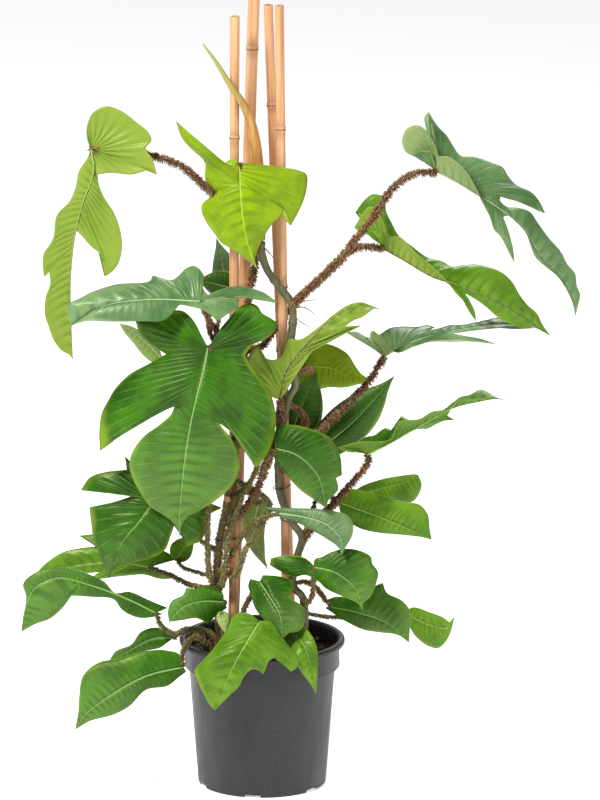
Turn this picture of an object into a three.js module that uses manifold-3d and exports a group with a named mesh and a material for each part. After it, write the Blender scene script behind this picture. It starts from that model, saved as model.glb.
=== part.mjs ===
// A potted philodendron squamiferum: two climbing stems tied to four bamboo canes,
// lobed leaves on bristly leaf stalks, a new leaf still rolled in its sheath, soil
// and a plastic nursery pot. Millimetres, +Z up, origin under the middle of the pot.
import * as THREE from 'three';
import { mergeVertices } from 'three/addons/utils/BufferGeometryUtils.js';
import Module from 'manifold-3d';

const wasm = await Module();
wasm.setup();

// Driving dimensions of the pot
const POT_HEIGHT = 190;
const RIM_OUTER_R = 105;
const RIM_ROLL = 8;
const COLLAR_R = 97.5;
const COLLAR_BASE_Z = 154;
const BODY_TOP_R = 92.5;
const BODY_BASE_R = 81;
const WALL = 2;
const FLOOR = 2;
const POT_SIDES = 28;
const NOTCH_COUNT = 6;
const NOTCH_WIDTH = 22.5;
const NOTCH_HEIGHT = 5.5;
const NOTCH_DEPTH = 14;
const FIRST_NOTCH = THREE.MathUtils.degToRad(-8.6);

// Driving dimensions of the filling and the growth
const SOIL_TOP = 168;
const SOIL_LUMP = 4;
const GAP = 0.3;
const FINEST = 0.03;
const STEM_R = 5.4;
const STALK_R = 2.1;
const BRISTLE = 1.15;
const STALK_SIDES = 4;
const STALK_STEP = 15.5;
const STEM_SIDES = 6;
const STEM_STEP = 19;
const STEM_NODE = 0.6;
const ROOT_R = 1.1;
const CANE_SIDES = 8;
const TIE_R = 0.8;
const LEAF_THICKNESS = 0.9;
const MIDRIB_KEEL = 0.9;
const LEAF_ARCH = 0.07;
const VEIN_SLANT = 0.5;
const LAST_ROOT = 0.97;
const RIB_STEPS = 100;

// Points of the plant are given as [across, up, near]: millimetres to the right, millimetres
// up in a front view taken from 15.5 degrees above level, and millimetres towards the viewer.
const VIEW_RISE = THREE.MathUtils.degToRad(15.5);
const place = ([across, up, near]) => new THREE.Vector3(
  across, -near, (up + near * Math.sin(VIEW_RISE)) / Math.cos(VIEW_RISE));

// The photo's scale, and where its left and upper edges lie in that front view
const MM_PER_PIXEL = 1.265;
const PHOTO_LEFT = -331.43;
const PHOTO_TOP = 989.23;
const fromPhoto = ([right, down]) => [
  PHOTO_LEFT + MM_PER_PIXEL * right, PHOTO_TOP - MM_PER_PIXEL * down];

const COLOURS = {
  lime: '#a9c23c',
  fresh_green: '#6f9f35',
  rich_green: '#4f8a2c',
  deep_green: '#37701f',
  grey_green: '#6d9a5b',
  pale_green: '#9fb36a',
};

const material = (color, roughness, metalness = 0) => new THREE.MeshStandardMaterial({
  color, roughness, metalness,
});

// Leaves with a listed outline: name, tone, midrib from base to tip as [across, up, near], then
// the left and the right margin as seen on the leaf's upper side, as [across, up, lean, root]:
// lean is millimetres nearer than the midrib, root is where the side vein leaves it, in hundredths.
const LISTED_LEAVES = [
  ['leaf_01_top_left', 'fresh_green',
    [[-215, 799, 60], [-212, 772, 66], [-226, 730, 70], [-237, 686, 66], [-242, 629, 58],
     [-241, 578, 52], [-239, 535, 48]],
    [[-220, 787, -4, 2], [-230, 772, -8, 10], [-235, 749, -6, 17], [-243, 732, -6, 21],
     [-258, 716, -8, 25], [-263, 688, -10, 33], [-268, 678, -12, 37], [-275, 668, -14, 40],
     [-276, 653, -16, 43], [-274, 639, -16, 46], [-268, 646, -10, 49], [-267, 629, -8, 54],
     [-273, 612, -8, 60], [-274, 591, -8, 67], [-269, 576, -6, 74], [-262, 558, -4, 82],
     [-253, 546, -3, 89], [-243, 540, -1, 96]],
    [[-218, 812, -3, 0], [-219, 827, -8, 0], [-213, 844, -12, 0], [-196, 853, -14, 0],
     [-177, 847, -12, 0], [-157, 832, -6, 0], [-143, 820, 0, 0], [-139, 810, 2, 0],
     [-146, 800, 4, 0], [-138, 787, 6, 0], [-132, 767, 8, 0], [-142, 772, 8, 0],
     [-164, 767, 10, 0], [-190, 769, 10, 0], [-207, 767, 9, 2], [-205, 752, 4, 8],
     [-197, 734, 8, 12], [-187, 720, 10, 15], [-180, 702, 12, 17], [-176, 678, 12, 19],
     [-181, 655, 10, 21], [-190, 644, 8, 22], [-198, 639, 6, 23], [-194, 649, 6, 25],
     [-204, 667, 4, 27], [-215, 676, 2, 30], [-226, 689, 0, 33], [-234, 697, -2, 38],
     [-241, 673, -14, 44], [-248, 641, -26, 55], [-252, 610, -30, 66], [-249, 578, -22, 80],
     [-243, 553, -8, 92]]],
  ['leaf_02_top_middle', 'lime',
    [[-28, 782, 40], [-27, 749, 50], [-24, 713, 58], [-18, 681, 66], [-6, 648, 72]],
    [[-20, 780, -4, 0], [3, 779, -8, 0], [29, 776, -12, 1], [48, 772, -14, 2], [56, 767, -15, 3],
     [56, 750, -15, 5], [52, 734, -14, 8], [46, 720, -13, 11], [37, 703, -12, 14],
     [33, 715, -9, 17], [28, 725, -8, 22], [23, 715, -9, 30], [13, 706, -10, 40],
     [4, 692, -9, 54], [-4, 676, -7, 70], [-9, 660, -3, 86]],
    [[-37, 787, -3, 0], [-51, 781, -6, 3], [-65, 792, -9, 8], [-77, 807, -11, 12],
     [-92, 820, -12, 15], [-108, 834, -12, 17], [-100, 813, -12, 18], [-89, 800, -12, 18],
     [-72, 783, -12, 19], [-71, 762, -14, 19], [-61, 743, -14, 20], [-48, 757, -12, 20],
     [-62, 741, -7, 21], [-75, 730, -6, 22], [-76, 722, -6, 24], [-70, 708, -7, 30],
     [-59, 693, -8, 40], [-51, 682, -8, 50], [-35, 672, -6, 62], [-22, 662, -4, 76],
     [-10, 653, -2, 90]]],
  ['leaf_03_top_right', 'grey_green',
    [[220, 771, 40], [247, 757, 46], [273, 741, 48], [298, 725, 46], [329, 701, 42],
     [350, 668, 36], [371, 643, 30], [396, 606, 24], [396, 590, 22]],
    [[221, 799, -6, 0], [219, 812, -12, 0], [214, 832, -20, 0], [206, 830, -22, 0],
     [205, 839, -24, 0], [210, 846, -26, 0], [216, 836, -26, 0], [223, 827, -28, 1],
     [233, 817, -30, 2], [242, 802, -32, 3], [249, 792, -32, 5], [269, 789, -38, 7],
     [288, 783, -42, 9], [304, 777, -44, 11], [310, 768, -42, 13], [321, 755, -42, 14],
     [339, 745, -42, 16], [348, 735, -42, 17], [357, 718, -40, 18], [344, 725, -36, 20],
     [330, 737, -34, 22], [316, 743, -30, 25], [302, 741, -22, 29], [299, 735, -14, 34],
     [307, 727, -16, 38], [325, 725, -22, 42], [339, 720, -26, 46], [348, 708, -26, 50],
     [362, 688, -26, 58], [377, 669, -24, 66], [385, 654, -22, 72], [395, 643, -18, 78],
     [398, 626, -12, 85], [402, 616, -8, 89], [399, 603, -4, 94]],
    [[212, 797, 6, 0], [195, 796, 2, 0], [191, 791, 0, 0], [181, 794, 0, 0], [176, 808, -2, 0],
     [182, 824, -4, 0], [195, 830, -4, 0], [207, 824, 0, 0], [218, 803, 6, 0], [222, 790, 10, 1],
     [233, 789, 12, 4], [245, 782, 13, 8], [258, 770, 13, 13], [267, 756, 12, 19],
     [276, 736, 12, 24], [287, 713, 14, 27], [292, 697, 16, 29], [301, 688, 17, 31],
     [310, 673, 18, 32], [319, 657, 18, 33], [307, 681, 15, 34], [302, 698, 12, 35],
     [303, 712, 7, 37], [309, 716, 3, 41], [320, 708, 3, 46], [333, 694, 4, 51],
     [339, 678, 5, 56], [345, 663, 6, 61], [359, 650, 6, 68], [373, 639, 5, 76],
     [385, 622, 4, 84], [392, 606, 2, 92]]],
  ['leaf_04_upper_right', 'fresh_green',
    [[154, 675, 15], [182, 659, 20], [212, 641, 24], [242, 630, 26], [271, 619, 24],
     [300, 607, 20], [333, 588, 15], [353, 573, 12], [364, 565, 10]],
    [[158, 691, -4, 0], [156, 708, -8, 0], [149, 729, -10, 0], [137, 732, -12, 0],
     [118, 720, -14, 0], [129, 735, -15, 0], [140, 743, -16, 0], [153, 739, -16, 0],
     [157, 720, -16, 0], [164, 706, -16, 1], [172, 692, -14, 3], [190, 677, -18, 8],
     [210, 662, -22, 14], [226, 658, -28, 19], [240, 651, -26, 24], [250, 653, -26, 28],
     [269, 655, -30, 36], [288, 651, -32, 44], [304, 643, -32, 51], [316, 631, -30, 59],
     [325, 616, -26, 67], [336, 603, -20, 76], [348, 592, -12, 85], [354, 579, -5, 92]],
    [[154, 688, 4, 0], [148, 697, 2, 0], [138, 702, 0, 0], [127, 701, 0, 0], [116, 700, -2, 0],
     [125, 715, -2, 0], [134, 727, -2, 0], [146, 727, 0, 0], [153, 708, 4, 0], [161, 690, 8, 1],
     [173, 689, 10, 4], [186, 678, 11, 9], [199, 665, 11, 15], [213, 654, 10, 22],
     [228, 639, 9, 29], [238, 627, 8, 34], [245, 617, 10, 36], [254, 608, 12, 38],
     [262, 595, 14, 39], [271, 583, 14, 40], [269, 596, 12, 42], [259, 608, 9, 43],
     [248, 622, 3, 45], [261, 615, 3, 50], [280, 603, 4, 58], [297, 589, 5, 66],
     [314, 579, 5, 74], [329, 574, 5, 82], [345, 574, 3, 90]]],
  ['leaf_05_right', 'grey_green',
    [[155, 539, -20], [187, 555, -18], [225, 567, -18], [263, 574, -20], [301, 579, -24],
     [333, 576, -28], [342, 574, -30]],
    [[145, 545, -4, 0], [134, 557, -8, 0], [121, 565, -12, 0], [106, 569, -16, 0],
     [119, 570, -20, 0], [134, 562, -24, 0], [149, 565, -30, 2], [162, 573, -38, 4],
     [177, 576, -44, 7], [197, 577, -48, 10], [209, 579, -50, 12], [218, 576, -48, 13],
     [210, 570, -36, 17], [225, 573, -20, 30], [238, 577, -26, 38], [261, 579, -30, 48],
     [282, 584, -30, 60], [304, 588, -26, 72], [320, 582, -14, 86]],
    [[149, 546, 6, 0], [138, 559, 10, 0], [137, 569, 12, 0], [140, 572, 12, 0], [147, 567, 12, 0],
     [156, 557, 14, 1], [164, 547, 16, 3], [172, 543, 18, 4], [194, 550, 30, 7],
     [215, 557, 36, 10], [244, 558, 38, 13], [276, 557, 36, 16], [297, 553, 34, 18],
     [278, 560, 28, 22], [257, 565, 20, 28], [240, 568, 10, 36], [263, 570, 8, 50],
     [282, 572, 10, 62], [301, 574, 10, 74], [320, 573, 6, 88]]],
  ['leaf_06_right', 'rich_green',
    [[134, 414, 20], [162, 429, 24], [187, 443, 26], [216, 460, 26], [244, 474, 24],
     [273, 481, 20], [298, 485, 16], [307, 483, 15]],
    [[129, 424, -10, 0], [121, 430, -18, 0], [132, 437, -24, 0], [143, 439, -28, 1],
     [152, 445, -30, 3], [159, 447, -30, 6], [166, 441, -26, 9], [171, 453, -26, 13],
     [177, 463, -28, 17], [186, 458, -24, 22], [206, 448, -26, 27], [219, 453, -24, 31],
     [231, 457, -22, 35], [244, 457, -20, 38], [235, 462, -20, 43], [240, 472, -20, 52],
     [248, 482, -22, 58], [253, 488, -22, 62], [263, 490, -22, 68], [276, 497, -22, 75],
     [286, 493, -16, 84], [295, 487, -7, 93]],
    [[125, 417, 4, 0], [111, 418, 6, 0], [95, 423, 6, 0], [109, 427, 6, 0], [126, 430, 8, 0],
     [147, 430, 10, 2], [162, 433, 10, 7], [168, 445, 12, 11], [173, 457, 14, 14],
     [181, 458, 14, 18], [200, 459, 13, 27], [215, 467, 12, 36], [225, 469, 11, 44],
     [238, 471, 10, 52], [247, 481, 10, 58], [253, 487, 9, 62], [263, 485, 8, 70],
     [278, 486, 6, 80], [291, 487, 4, 90]]],
  ['leaf_07_middle_right', 'fresh_green',
    [[23, 483, 40], [30, 515, 50], [42, 536, 54], [58, 554, 54], [87, 583, 48], [120, 601, 38],
     [149, 598, 28]],
    [[32, 497, 3, 5], [43, 514, 5, 10], [53, 529, 7, 16], [63, 544, 8, 22], [71, 550, 10, 25],
     [86, 557, 12, 28], [105, 567, 12, 31], [126, 577, 8, 35], [105, 576, 4, 42],
     [114, 583, 5, 52], [127, 588, 5, 64], [137, 595, 4, 76], [143, 599, 2, 90]],
    [[8, 490, 4, 0], [-10, 506, 8, 0], [-20, 526, 8, 1], [-14, 543, 4, 2], [-4, 552, 0, 3],
     [1, 540, 0, 5], [13, 534, -2, 8], [24, 538, -6, 12], [28, 552, -8, 15], [33, 560, -10, 18],
     [48, 560, -12, 24], [63, 568, -14, 32], [78, 579, -14, 41], [92, 592, -13, 50],
     [107, 603, -11, 62], [124, 607, -8, 76], [139, 602, -4, 92]]],
  ['leaf_08_big_front', 'rich_green',
    [[-68, 549, 84], [-74, 519, 92], [-82, 488, 97], [-90, 452, 98], [-96, 417, 96],
     [-101, 376, 90], [-104, 338, 82], [-104, 309, 77]],
    [[-62, 555, -3, 0], [-53, 572, -8, 0], [-43, 584, -12, 0], [-28, 600, -16, 0],
     [-13, 605, -20, 0], [-5, 601, -22, 0], [0, 593, -22, 0], [10, 587, -24, 0],
     [19, 581, -24, 0], [16, 572, -24, 0], [4, 560, -20, 0], [-11, 553, -16, 0],
     [-21, 540, -12, 1], [-15, 529, -14, 3], [-5, 514, -18, 6], [8, 496, -22, 9],
     [15, 478, -24, 11], [18, 458, -26, 13], [16, 441, -26, 15], [10, 422, -24, 17],
     [0, 407, -20, 18], [-8, 397, -18, 19], [-10, 412, -16, 21], [-18, 428, -14, 23],
     [-28, 436, -11, 25], [-43, 447, -7, 29], [-58, 462, -4, 34], [-51, 450, -5, 38],
     [-41, 438, -8, 42], [-33, 424, -10, 46], [-28, 407, -12, 50], [-30, 391, -12, 55],
     [-40, 374, -11, 62], [-58, 357, -8, 70], [-78, 344, -5, 79], [-95, 335, -2, 88],
     [-102, 323, 0, 95]],
    [[-77, 559, -4, 0], [-83, 578, -8, 0], [-99, 595, -14, 0], [-119, 595, -18, 0],
     [-142, 587, -20, 0], [-159, 583, -20, 0], [-154, 568, -18, 0], [-142, 555, -14, 0],
     [-121, 541, -9, 1], [-142, 529, -13, 3], [-167, 515, -18, 6], [-186, 496, -22, 9],
     [-195, 481, -24, 11], [-202, 468, -26, 13], [-205, 445, -27, 16], [-204, 419, -28, 18],
     [-190, 431, -22, 20], [-167, 445, -16, 22], [-144, 462, -11, 25], [-125, 474, -8, 28],
     [-109, 479, -5, 32], [-114, 466, -7, 37], [-129, 452, -10, 41], [-148, 438, -14, 45],
     [-162, 420, -17, 49], [-167, 404, -18, 53], [-164, 386, -17, 59], [-154, 366, -14, 66],
     [-142, 350, -10, 74], [-125, 339, -6, 82], [-113, 330, -3, 89], [-106, 319, -1, 95]]],
  ['leaf_09_left', 'grey_green',
    [[-78, 608, 86], [-142, 610, 92], [-205, 600, 90], [-240, 577, 84]],
    [[-51, 606, 4, 0], [-28, 610, 4, 0], [-30, 601, 6, 0], [-43, 591, 8, 0], [-56, 582, 10, 0],
     [-71, 595, 6, 2], [-91, 601, 4, 6], [-104, 603, 2, 12], [-109, 597, 4, 16],
     [-123, 584, 10, 22], [-154, 582, 12, 36], [-187, 582, 10, 54], [-218, 583, 6, 72],
     [-232, 580, 3, 88]],
    [[-47, 612, -8, 0], [-15, 612, -14, 0], [22, 603, -18, 0], [0, 620, -22, 0],
     [-29, 627, -20, 0], [-52, 622, -14, 0], [-68, 615, -8, 0], [-75, 625, -14, 0],
     [-73, 639, -22, 0], [-84, 653, -30, 0], [-95, 650, -32, 1], [-105, 640, -30, 3],
     [-114, 634, -28, 6], [-138, 639, -34, 10], [-142, 632, -26, 18], [-182, 630, -28, 34],
     [-211, 620, -22, 54], [-230, 610, -14, 70], [-243, 604, -8, 82], [-245, 593, -4, 92]]],
  ['leaf_17_left_front', 'deep_green',
    [[-135, 357, 46], [-154, 331, 54], [-178, 301, 58], [-194, 258, 56]],
    [[-104, 363, -6, 0], [-78, 357, -8, 0], [-51, 347, -10, 0], [-70, 335, -10, 0],
     [-71, 319, -10, 0], [-78, 305, -10, 0], [-94, 299, -8, 0], [-102, 312, -6, 0],
     [-110, 328, -4, 2], [-115, 312, -6, 10], [-123, 293, -8, 20], [-142, 283, -8, 34],
     [-167, 278, -6, 50], [-186, 271, -3, 70]],
    [[-150, 385, -14, 0], [-173, 412, -16, 0], [-171, 395, -14, 0], [-199, 392, -14, 0],
     [-218, 385, -16, 0], [-229, 369, -16, 0], [-205, 368, -12, 0], [-177, 366, -8, 1],
     [-167, 361, -6, 3], [-192, 353, -12, 6], [-218, 347, -16, 9], [-216, 329, -14, 14],
     [-213, 306, -10, 28], [-207, 291, -8, 42], [-201, 276, -4, 62]]],
  ['leaf_24_over_pot', 'fresh_green',
    [[-3, 203, 104], [-23, 171, 119], [-42, 135, 127], [-59, 91, 129]],
    [[8, 204, -2, 0], [23, 186, 2, 2], [33, 173, 5, 4], [47, 156, 8, 8], [44, 145, 8, 9],
     [37, 140, 7, 10], [28, 148, 4, 13], [15, 158, 2, 17], [8, 153, 1, 21], [4, 143, 1, 24],
     [1, 137, 0, 26], [-5, 142, 0, 31], [-13, 143, 0, 36], [-22, 135, 0, 45], [-30, 120, 0, 57],
     [-42, 109, 0, 70], [-53, 98, 0, 88]],
    [[-10, 209, -3, 0], [-19, 214, -5, 0], [-32, 213, -7, 0], [-39, 205, -7, 0],
     [-42, 196, -7, 2], [-59, 173, -6, 10], [-75, 154, -5, 22], [-85, 142, -4, 32],
     [-81, 128, -3, 46], [-73, 111, -2, 64], [-66, 98, -1, 84]]],
];

// Leaves whose outline is read in the photo: name, tone, midrib from base to tip as [pixels
// right, pixels down, near], the left and the right margin as [pixels right, pixels down], and
// how many millimetres nearer each half lies for a millimetre away from the midrib.
const MEASURED_LEAVES = [
  ['leaf_12_behind_left', 'pale_green',
    [[163, 360, -44], [146, 343, -53], [133, 332, -61], [119, 323, -70]],
    [[155, 363], [144, 356], [133, 343], [124, 332]],
    [[159, 349], [148, 337], [133, 327]], [-0.5, -0.4]],
  ['leaf_16_front_right', 'deep_green',
    [[275, 448, 60], [297, 455, 66], [318, 476, 72], [326, 508, 76]],
    [[275, 434], [278, 426], [293, 425], [313, 430], [330, 438], [340, 455], [342, 475],
     [336, 478], [338, 489], [328, 501]],
    [[270, 449], [275, 459], [286, 474], [301, 490], [315, 500]], [-0.22, -0.22]],
  ['leaf_18_right', 'fresh_green',
    [[340, 503, -4], [368, 513, -3], [401, 526, -3], [432, 540, -2]],
    [[338, 493], [351, 489], [368, 492], [388, 498], [405, 502], [420, 505], [428, 515],
     [430, 530]],
    [[340, 511], [347, 520], [360, 528], [380, 533], [401, 535], [420, 537]], [-0.22, -0.22]],
  ['leaf_35_right_back', 'fresh_green',
    [[349, 499, -54], [380, 489, -59], [405, 483, -65], [420, 478, -70]],
    [[359, 488], [380, 480], [401, 476], [418, 475]],
    [[359, 505], [388, 503], [413, 502], [422, 486]], [-0.22, -0.22]],
  ['leaf_19_front_middle', 'grey_green',
    [[279, 513, 56], [305, 517, 64], [326, 524, 70], [340, 538, 72], [342, 555, 72]],
    [[263, 507], [289, 508], [318, 509], [334, 511], [347, 515], [353, 524], [352, 536],
     [345, 548]],
    [[265, 513], [280, 517], [301, 524], [313, 530], [326, 538], [338, 547]], [-0.3, -0.45]],
  ['leaf_20_front_right', 'rich_green',
    [[314, 567, 58], [334, 572, 66], [355, 588, 70], [363, 611, 70]],
    [[315, 559], [322, 557], [332, 552], [347, 549], [363, 552], [371, 557], [372, 563],
     [378, 572], [376, 584], [370, 597], [363, 603]],
    [[305, 558], [289, 556], [271, 559], [270, 565], [280, 571], [293, 577], [305, 575],
     [318, 581], [326, 588], [340, 595], [357, 603]], [-0.22, -0.22]],
  ['leaf_21_low_right', 'rich_green',
    [[331, 607, 16], [359, 613, 24], [388, 624, 28], [409, 643, 28]],
    [[327, 600], [336, 597], [351, 598], [365, 597], [376, 586], [383, 583], [387, 593],
     [402, 601], [411, 613], [410, 630]],
    [[325, 608], [334, 614], [347, 622], [363, 630], [380, 633], [397, 635]], [-0.22, -0.22]],
  ['leaf_22_low_right', 'fresh_green',
    [[405, 614, -30], [430, 626, -31], [447, 629, -33], [455, 617, -34]],
    [[413, 608], [430, 613], [443, 618], [450, 623]],
    [[407, 620], [410, 627], [415, 636], [428, 647], [439, 649], [448, 640], [453, 627]], [-0.22, -0.22]],
  ['leaf_23_front_low', 'rich_green',
    [[260, 582, 60], [270, 597, 78], [280, 615, 94], [283, 638, 100]],
    [[263, 575], [278, 576], [292, 580], [293, 588], [289, 599], [303, 607], [305, 620],
     [300, 630], [289, 633]],
    [[250, 579], [248, 586], [251, 595], [255, 607], [265, 620], [278, 630]], [-0.22, -0.22]],
  ['leaf_26_low_left', 'rich_green',
    [[183, 667, 69], [146, 676, 75], [108, 697, 80], [85, 715, 82], [75, 730, 82]],
    [[186, 672], [179, 677], [167, 686], [146, 690], [129, 707], [113, 715], [90, 721]],
    [[183, 659], [177, 653], [169, 651], [158, 650], [138, 653], [117, 659], [98, 663], [83, 676],
     [79, 697], [78, 713]], [-0.22, -0.22]],
  ['leaf_27_low_left', 'rich_green',
    [[173, 639, 18], [154, 639, 14], [129, 651, 10], [108, 663, 6]],
    [[167, 643], [160, 648], [144, 652], [125, 660]],
    [[172, 634], [167, 631], [154, 628], [140, 633], [131, 645], [115, 652]], [-0.22, -0.22]],
  ['leaf_28_left_twisted', 'rich_green',
    [[156, 613, 30], [125, 598, 36], [90, 585, 42], [58, 578, 46], [35, 588, 48], [25, 609, 46],
     [21, 632, 42]],
    [[163, 614], [154, 617], [138, 618], [122, 610], [113, 599], [90, 597], [69, 596], [63, 607],
     [50, 618], [35, 624]],
    [[167, 608], [150, 601], [129, 592], [115, 593], [104, 582], [88, 574], [69, 568], [50, 568],
     [33, 574], [23, 584], [26, 597], [23, 618]], [-0.3, -0.3]],
  ['leaf_30_low_left', 'rich_green',
    [[223, 602, 52], [204, 601, 60], [183, 607, 66], [169, 622, 70]],
    [[227, 608], [217, 615], [207, 623], [196, 618], [183, 620]],
    [[223, 594], [215, 588], [205, 586], [195, 589], [186, 588], [183, 595], [172, 601],
     [168, 611]], [-0.22, -0.22]],
];

// Leaves with a plain outline: name, tone, outline, length of the ears behind the stalk, greatest
// width left and right, how much each half leans to the viewer, and the midrib
const SIMPLE_LEAVES = [
  ['leaf_10_behind_canes', 'grey_green', 'heart', 0.3, 15, 18, -0.2, -0.2,
    [[-46, 620, -82], [-50, 655, -84], [-58, 689, -88]]],
  ['leaf_11_behind_canes', 'deep_green', 'heart', 1, 18, 18, -0.2, -0.3,
    [[-38, 625, -56], [-62, 631, -58], [-84, 636, -60]]],
  ['leaf_13_behind_right', 'lime', 'heart', 1, 28, 30, -0.3, -0.2,
    [[52, 526, -78], [86, 524, -86], [114, 512, -92], [140, 508, -96]]],
  ['leaf_14_behind_right', 'deep_green', 'heart', 1, 28, 30, -0.2, -0.2,
    [[39, 446, -46], [48, 470, -50], [60, 496, -52], [70, 520, -54]]],
  ['leaf_15_right', 'deep_green', 'heart', 0.5, 27, 28, -0.5, -0.4,
    [[84, 430, -30], [114, 455, -36], [142, 484, -42], [168, 514, -46]]],
  ['leaf_25_over_pot', 'fresh_green', 'heart', 0.6, 15, 22, -0.2, 0,
    [[37, 192, 66], [54, 171, 97], [65, 130, 108], [69, 110, 108]]],
  ['leaf_29_left_back', 'fresh_green', 'lobed', 1, 22, 36, -0.2, -0.3,
    [[-144, 271, -35], [-192, 277, -45], [-256, 268, -52], [-304, 249, -56]]],
  ['leaf_31_hanging_pale', 'pale_green', 'heart', 1, 15, 15, -0.2, -0.3,
    [[-5, 352, 0], [-11, 319, 2], [-2, 287, 4], [8, 268, 4]]],
  ['leaf_32_small', 'pale_green', 'blade', 1, 8, 8, -0.3, -0.3,
    [[-51, 215, 76], [-48, 199, 82], [-46, 187, 85]]],
  ['leaf_33_left_back', 'fresh_green', 'blade', 1, 15, 14, -0.3, -0.3,
    [[-109, 281, -20], [-98, 297, -24], [-84, 312, -26]]],
];

// Turns a geometry into a solid, and a solid back into a named mesh
function toSolid(geometry) {
  const bare = geometry.index ? geometry.clone() : geometry;
  bare.deleteAttribute('normal');
  bare.deleteAttribute('uv');
  const merged = mergeVertices(bare, 1e-3);
  return new wasm.Manifold(new wasm.Mesh({
    numProp: 3,
    vertProperties: new Float32Array(merged.attributes.position.array),
    triVerts: new Uint32Array(merged.index.array),
  }));
}

function largestPiece(solid) {
  const pieces = solid.decompose();
  return pieces.reduce((best, piece) => (piece.volume() > best.volume() ? piece : best));
}

function toMesh(name, solid, look) {
  const { vertProperties, triVerts } = solid.getMesh();
  const geometry = new THREE.BufferGeometry();
  geometry.setAttribute('position', new THREE.BufferAttribute(vertProperties, 3));
  geometry.setIndex(new THREE.BufferAttribute(triVerts, 1));
  geometry.computeVertexNormals();
  const mesh = new THREE.Mesh(geometry, look);
  mesh.name = name;
  return mesh;
}

function geometryFromLists(points, triangles) {
  const geometry = new THREE.BufferGeometry();
  const numbers = points.flatMap((p) => [p.x, p.y, p.z]);
  geometry.setAttribute('position', new THREE.Float32BufferAttribute(numbers, 3));
  geometry.setIndex(triangles.flat());
  return geometry;
}

const solidFromLists = (points, triangles) => toSolid(geometryFromLists(points, triangles));

const curveThrough = (points) => new THREE.CatmullRomCurve3(points, false, 'centripetal');

// Half outlines as [along, across, root]: shares of the midrib's length, of the half's
// greatest width, and where the side vein leaves the midrib
const OUTLINES = {
  heart: [[-0.07, 0.16, 0], [-0.14, 0.46, 0], [-0.04, 0.8, 0], [0.13, 0.97, 0.03], [0.31, 1, 0.13],
    [0.5, 0.85, 0.3], [0.68, 0.56, 0.5], [0.82, 0.26, 0.7], [0.93, 0.08, 0.87]],
  lobed: [[-0.08, 0.16, 0], [-0.22, 0.4, 0], [-0.1, 0.62, 0], [0.03, 0.5, 0], [0.15, 0.74, 0.02],
    [0.32, 0.96, 0.06], [0.5, 1, 0.13], [0.39, 0.56, 0.24], [0.5, 0.57, 0.35], [0.64, 0.54, 0.48],
    [0.78, 0.34, 0.63], [0.91, 0.09, 0.84]],
  blade: [[-0.02, 0.4, 0], [0.1, 0.85, 0.04], [0.3, 1, 0.18], [0.5, 0.85, 0.36], [0.7, 0.52, 0.56],
    [0.87, 0.2, 0.78]],
};

// One half margin of a simple leaf, as points with their roots
function templateHalf(curve, side, shape, ears, width, lean) {
  const length = curve.getLength();
  return OUTLINES[shape].map(([along, across, root]) => {
    const at = THREE.MathUtils.clamp(along, 0, 1);
    const centre = curve.getPointAt(at);
    const direction = curve.getTangentAt(at);
    const flat = new THREE.Vector3(direction.x, 0, direction.z).normalize();
    const sideways = new THREE.Vector3(-flat.z * side, 0, flat.x * side);
    const behind = direction.clone().multiplyScalar(Math.min(along, 0) * length * ears);
    const point = centre.clone().add(behind).addScaledVector(sideways, across * width);
    point.y -= lean * across * width;
    return { point, root };
  });
}

// One half margin of a leaf whose outline is listed
function listedHalf(curve, rows) {
  return rows.map(([across, up, lean, hundredths]) => {
    const root = hundredths / 100;
    const near = -curve.getPointAt(root).y + lean;
    return { point: place([across, up, near]), root };
  });
}

// The rows of such a half margin from points read in the photo. A side vein leaves the midrib
// a little before the place nearest to its margin point, and the half leans with its width.
function measuredRows(midrib, margin, lean) {
  const flat = midrib.map(([across, up]) => new THREE.Vector2(across, up));
  const line = new THREE.CurvePath();
  flat.slice(1).forEach((end, i) => line.add(new THREE.LineCurve(flat[i], end)));
  const steps = line.getSpacedPoints(RIB_STEPS);
  let root = 0;
  return margin.map((pixel) => {
    const [across, up] = fromPhoto(pixel);
    const distances = steps.map((step) => Math.hypot(step.x - across, step.y - up));
    const width = Math.min(...distances);
    const share = distances.indexOf(width) / RIB_STEPS - (VEIN_SLANT * width) / line.getLength();
    root = Math.min(LAST_ROOT, Math.max(share, root));
    return [across, up, lean * width, Math.round(100 * root)];
  });
}

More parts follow.
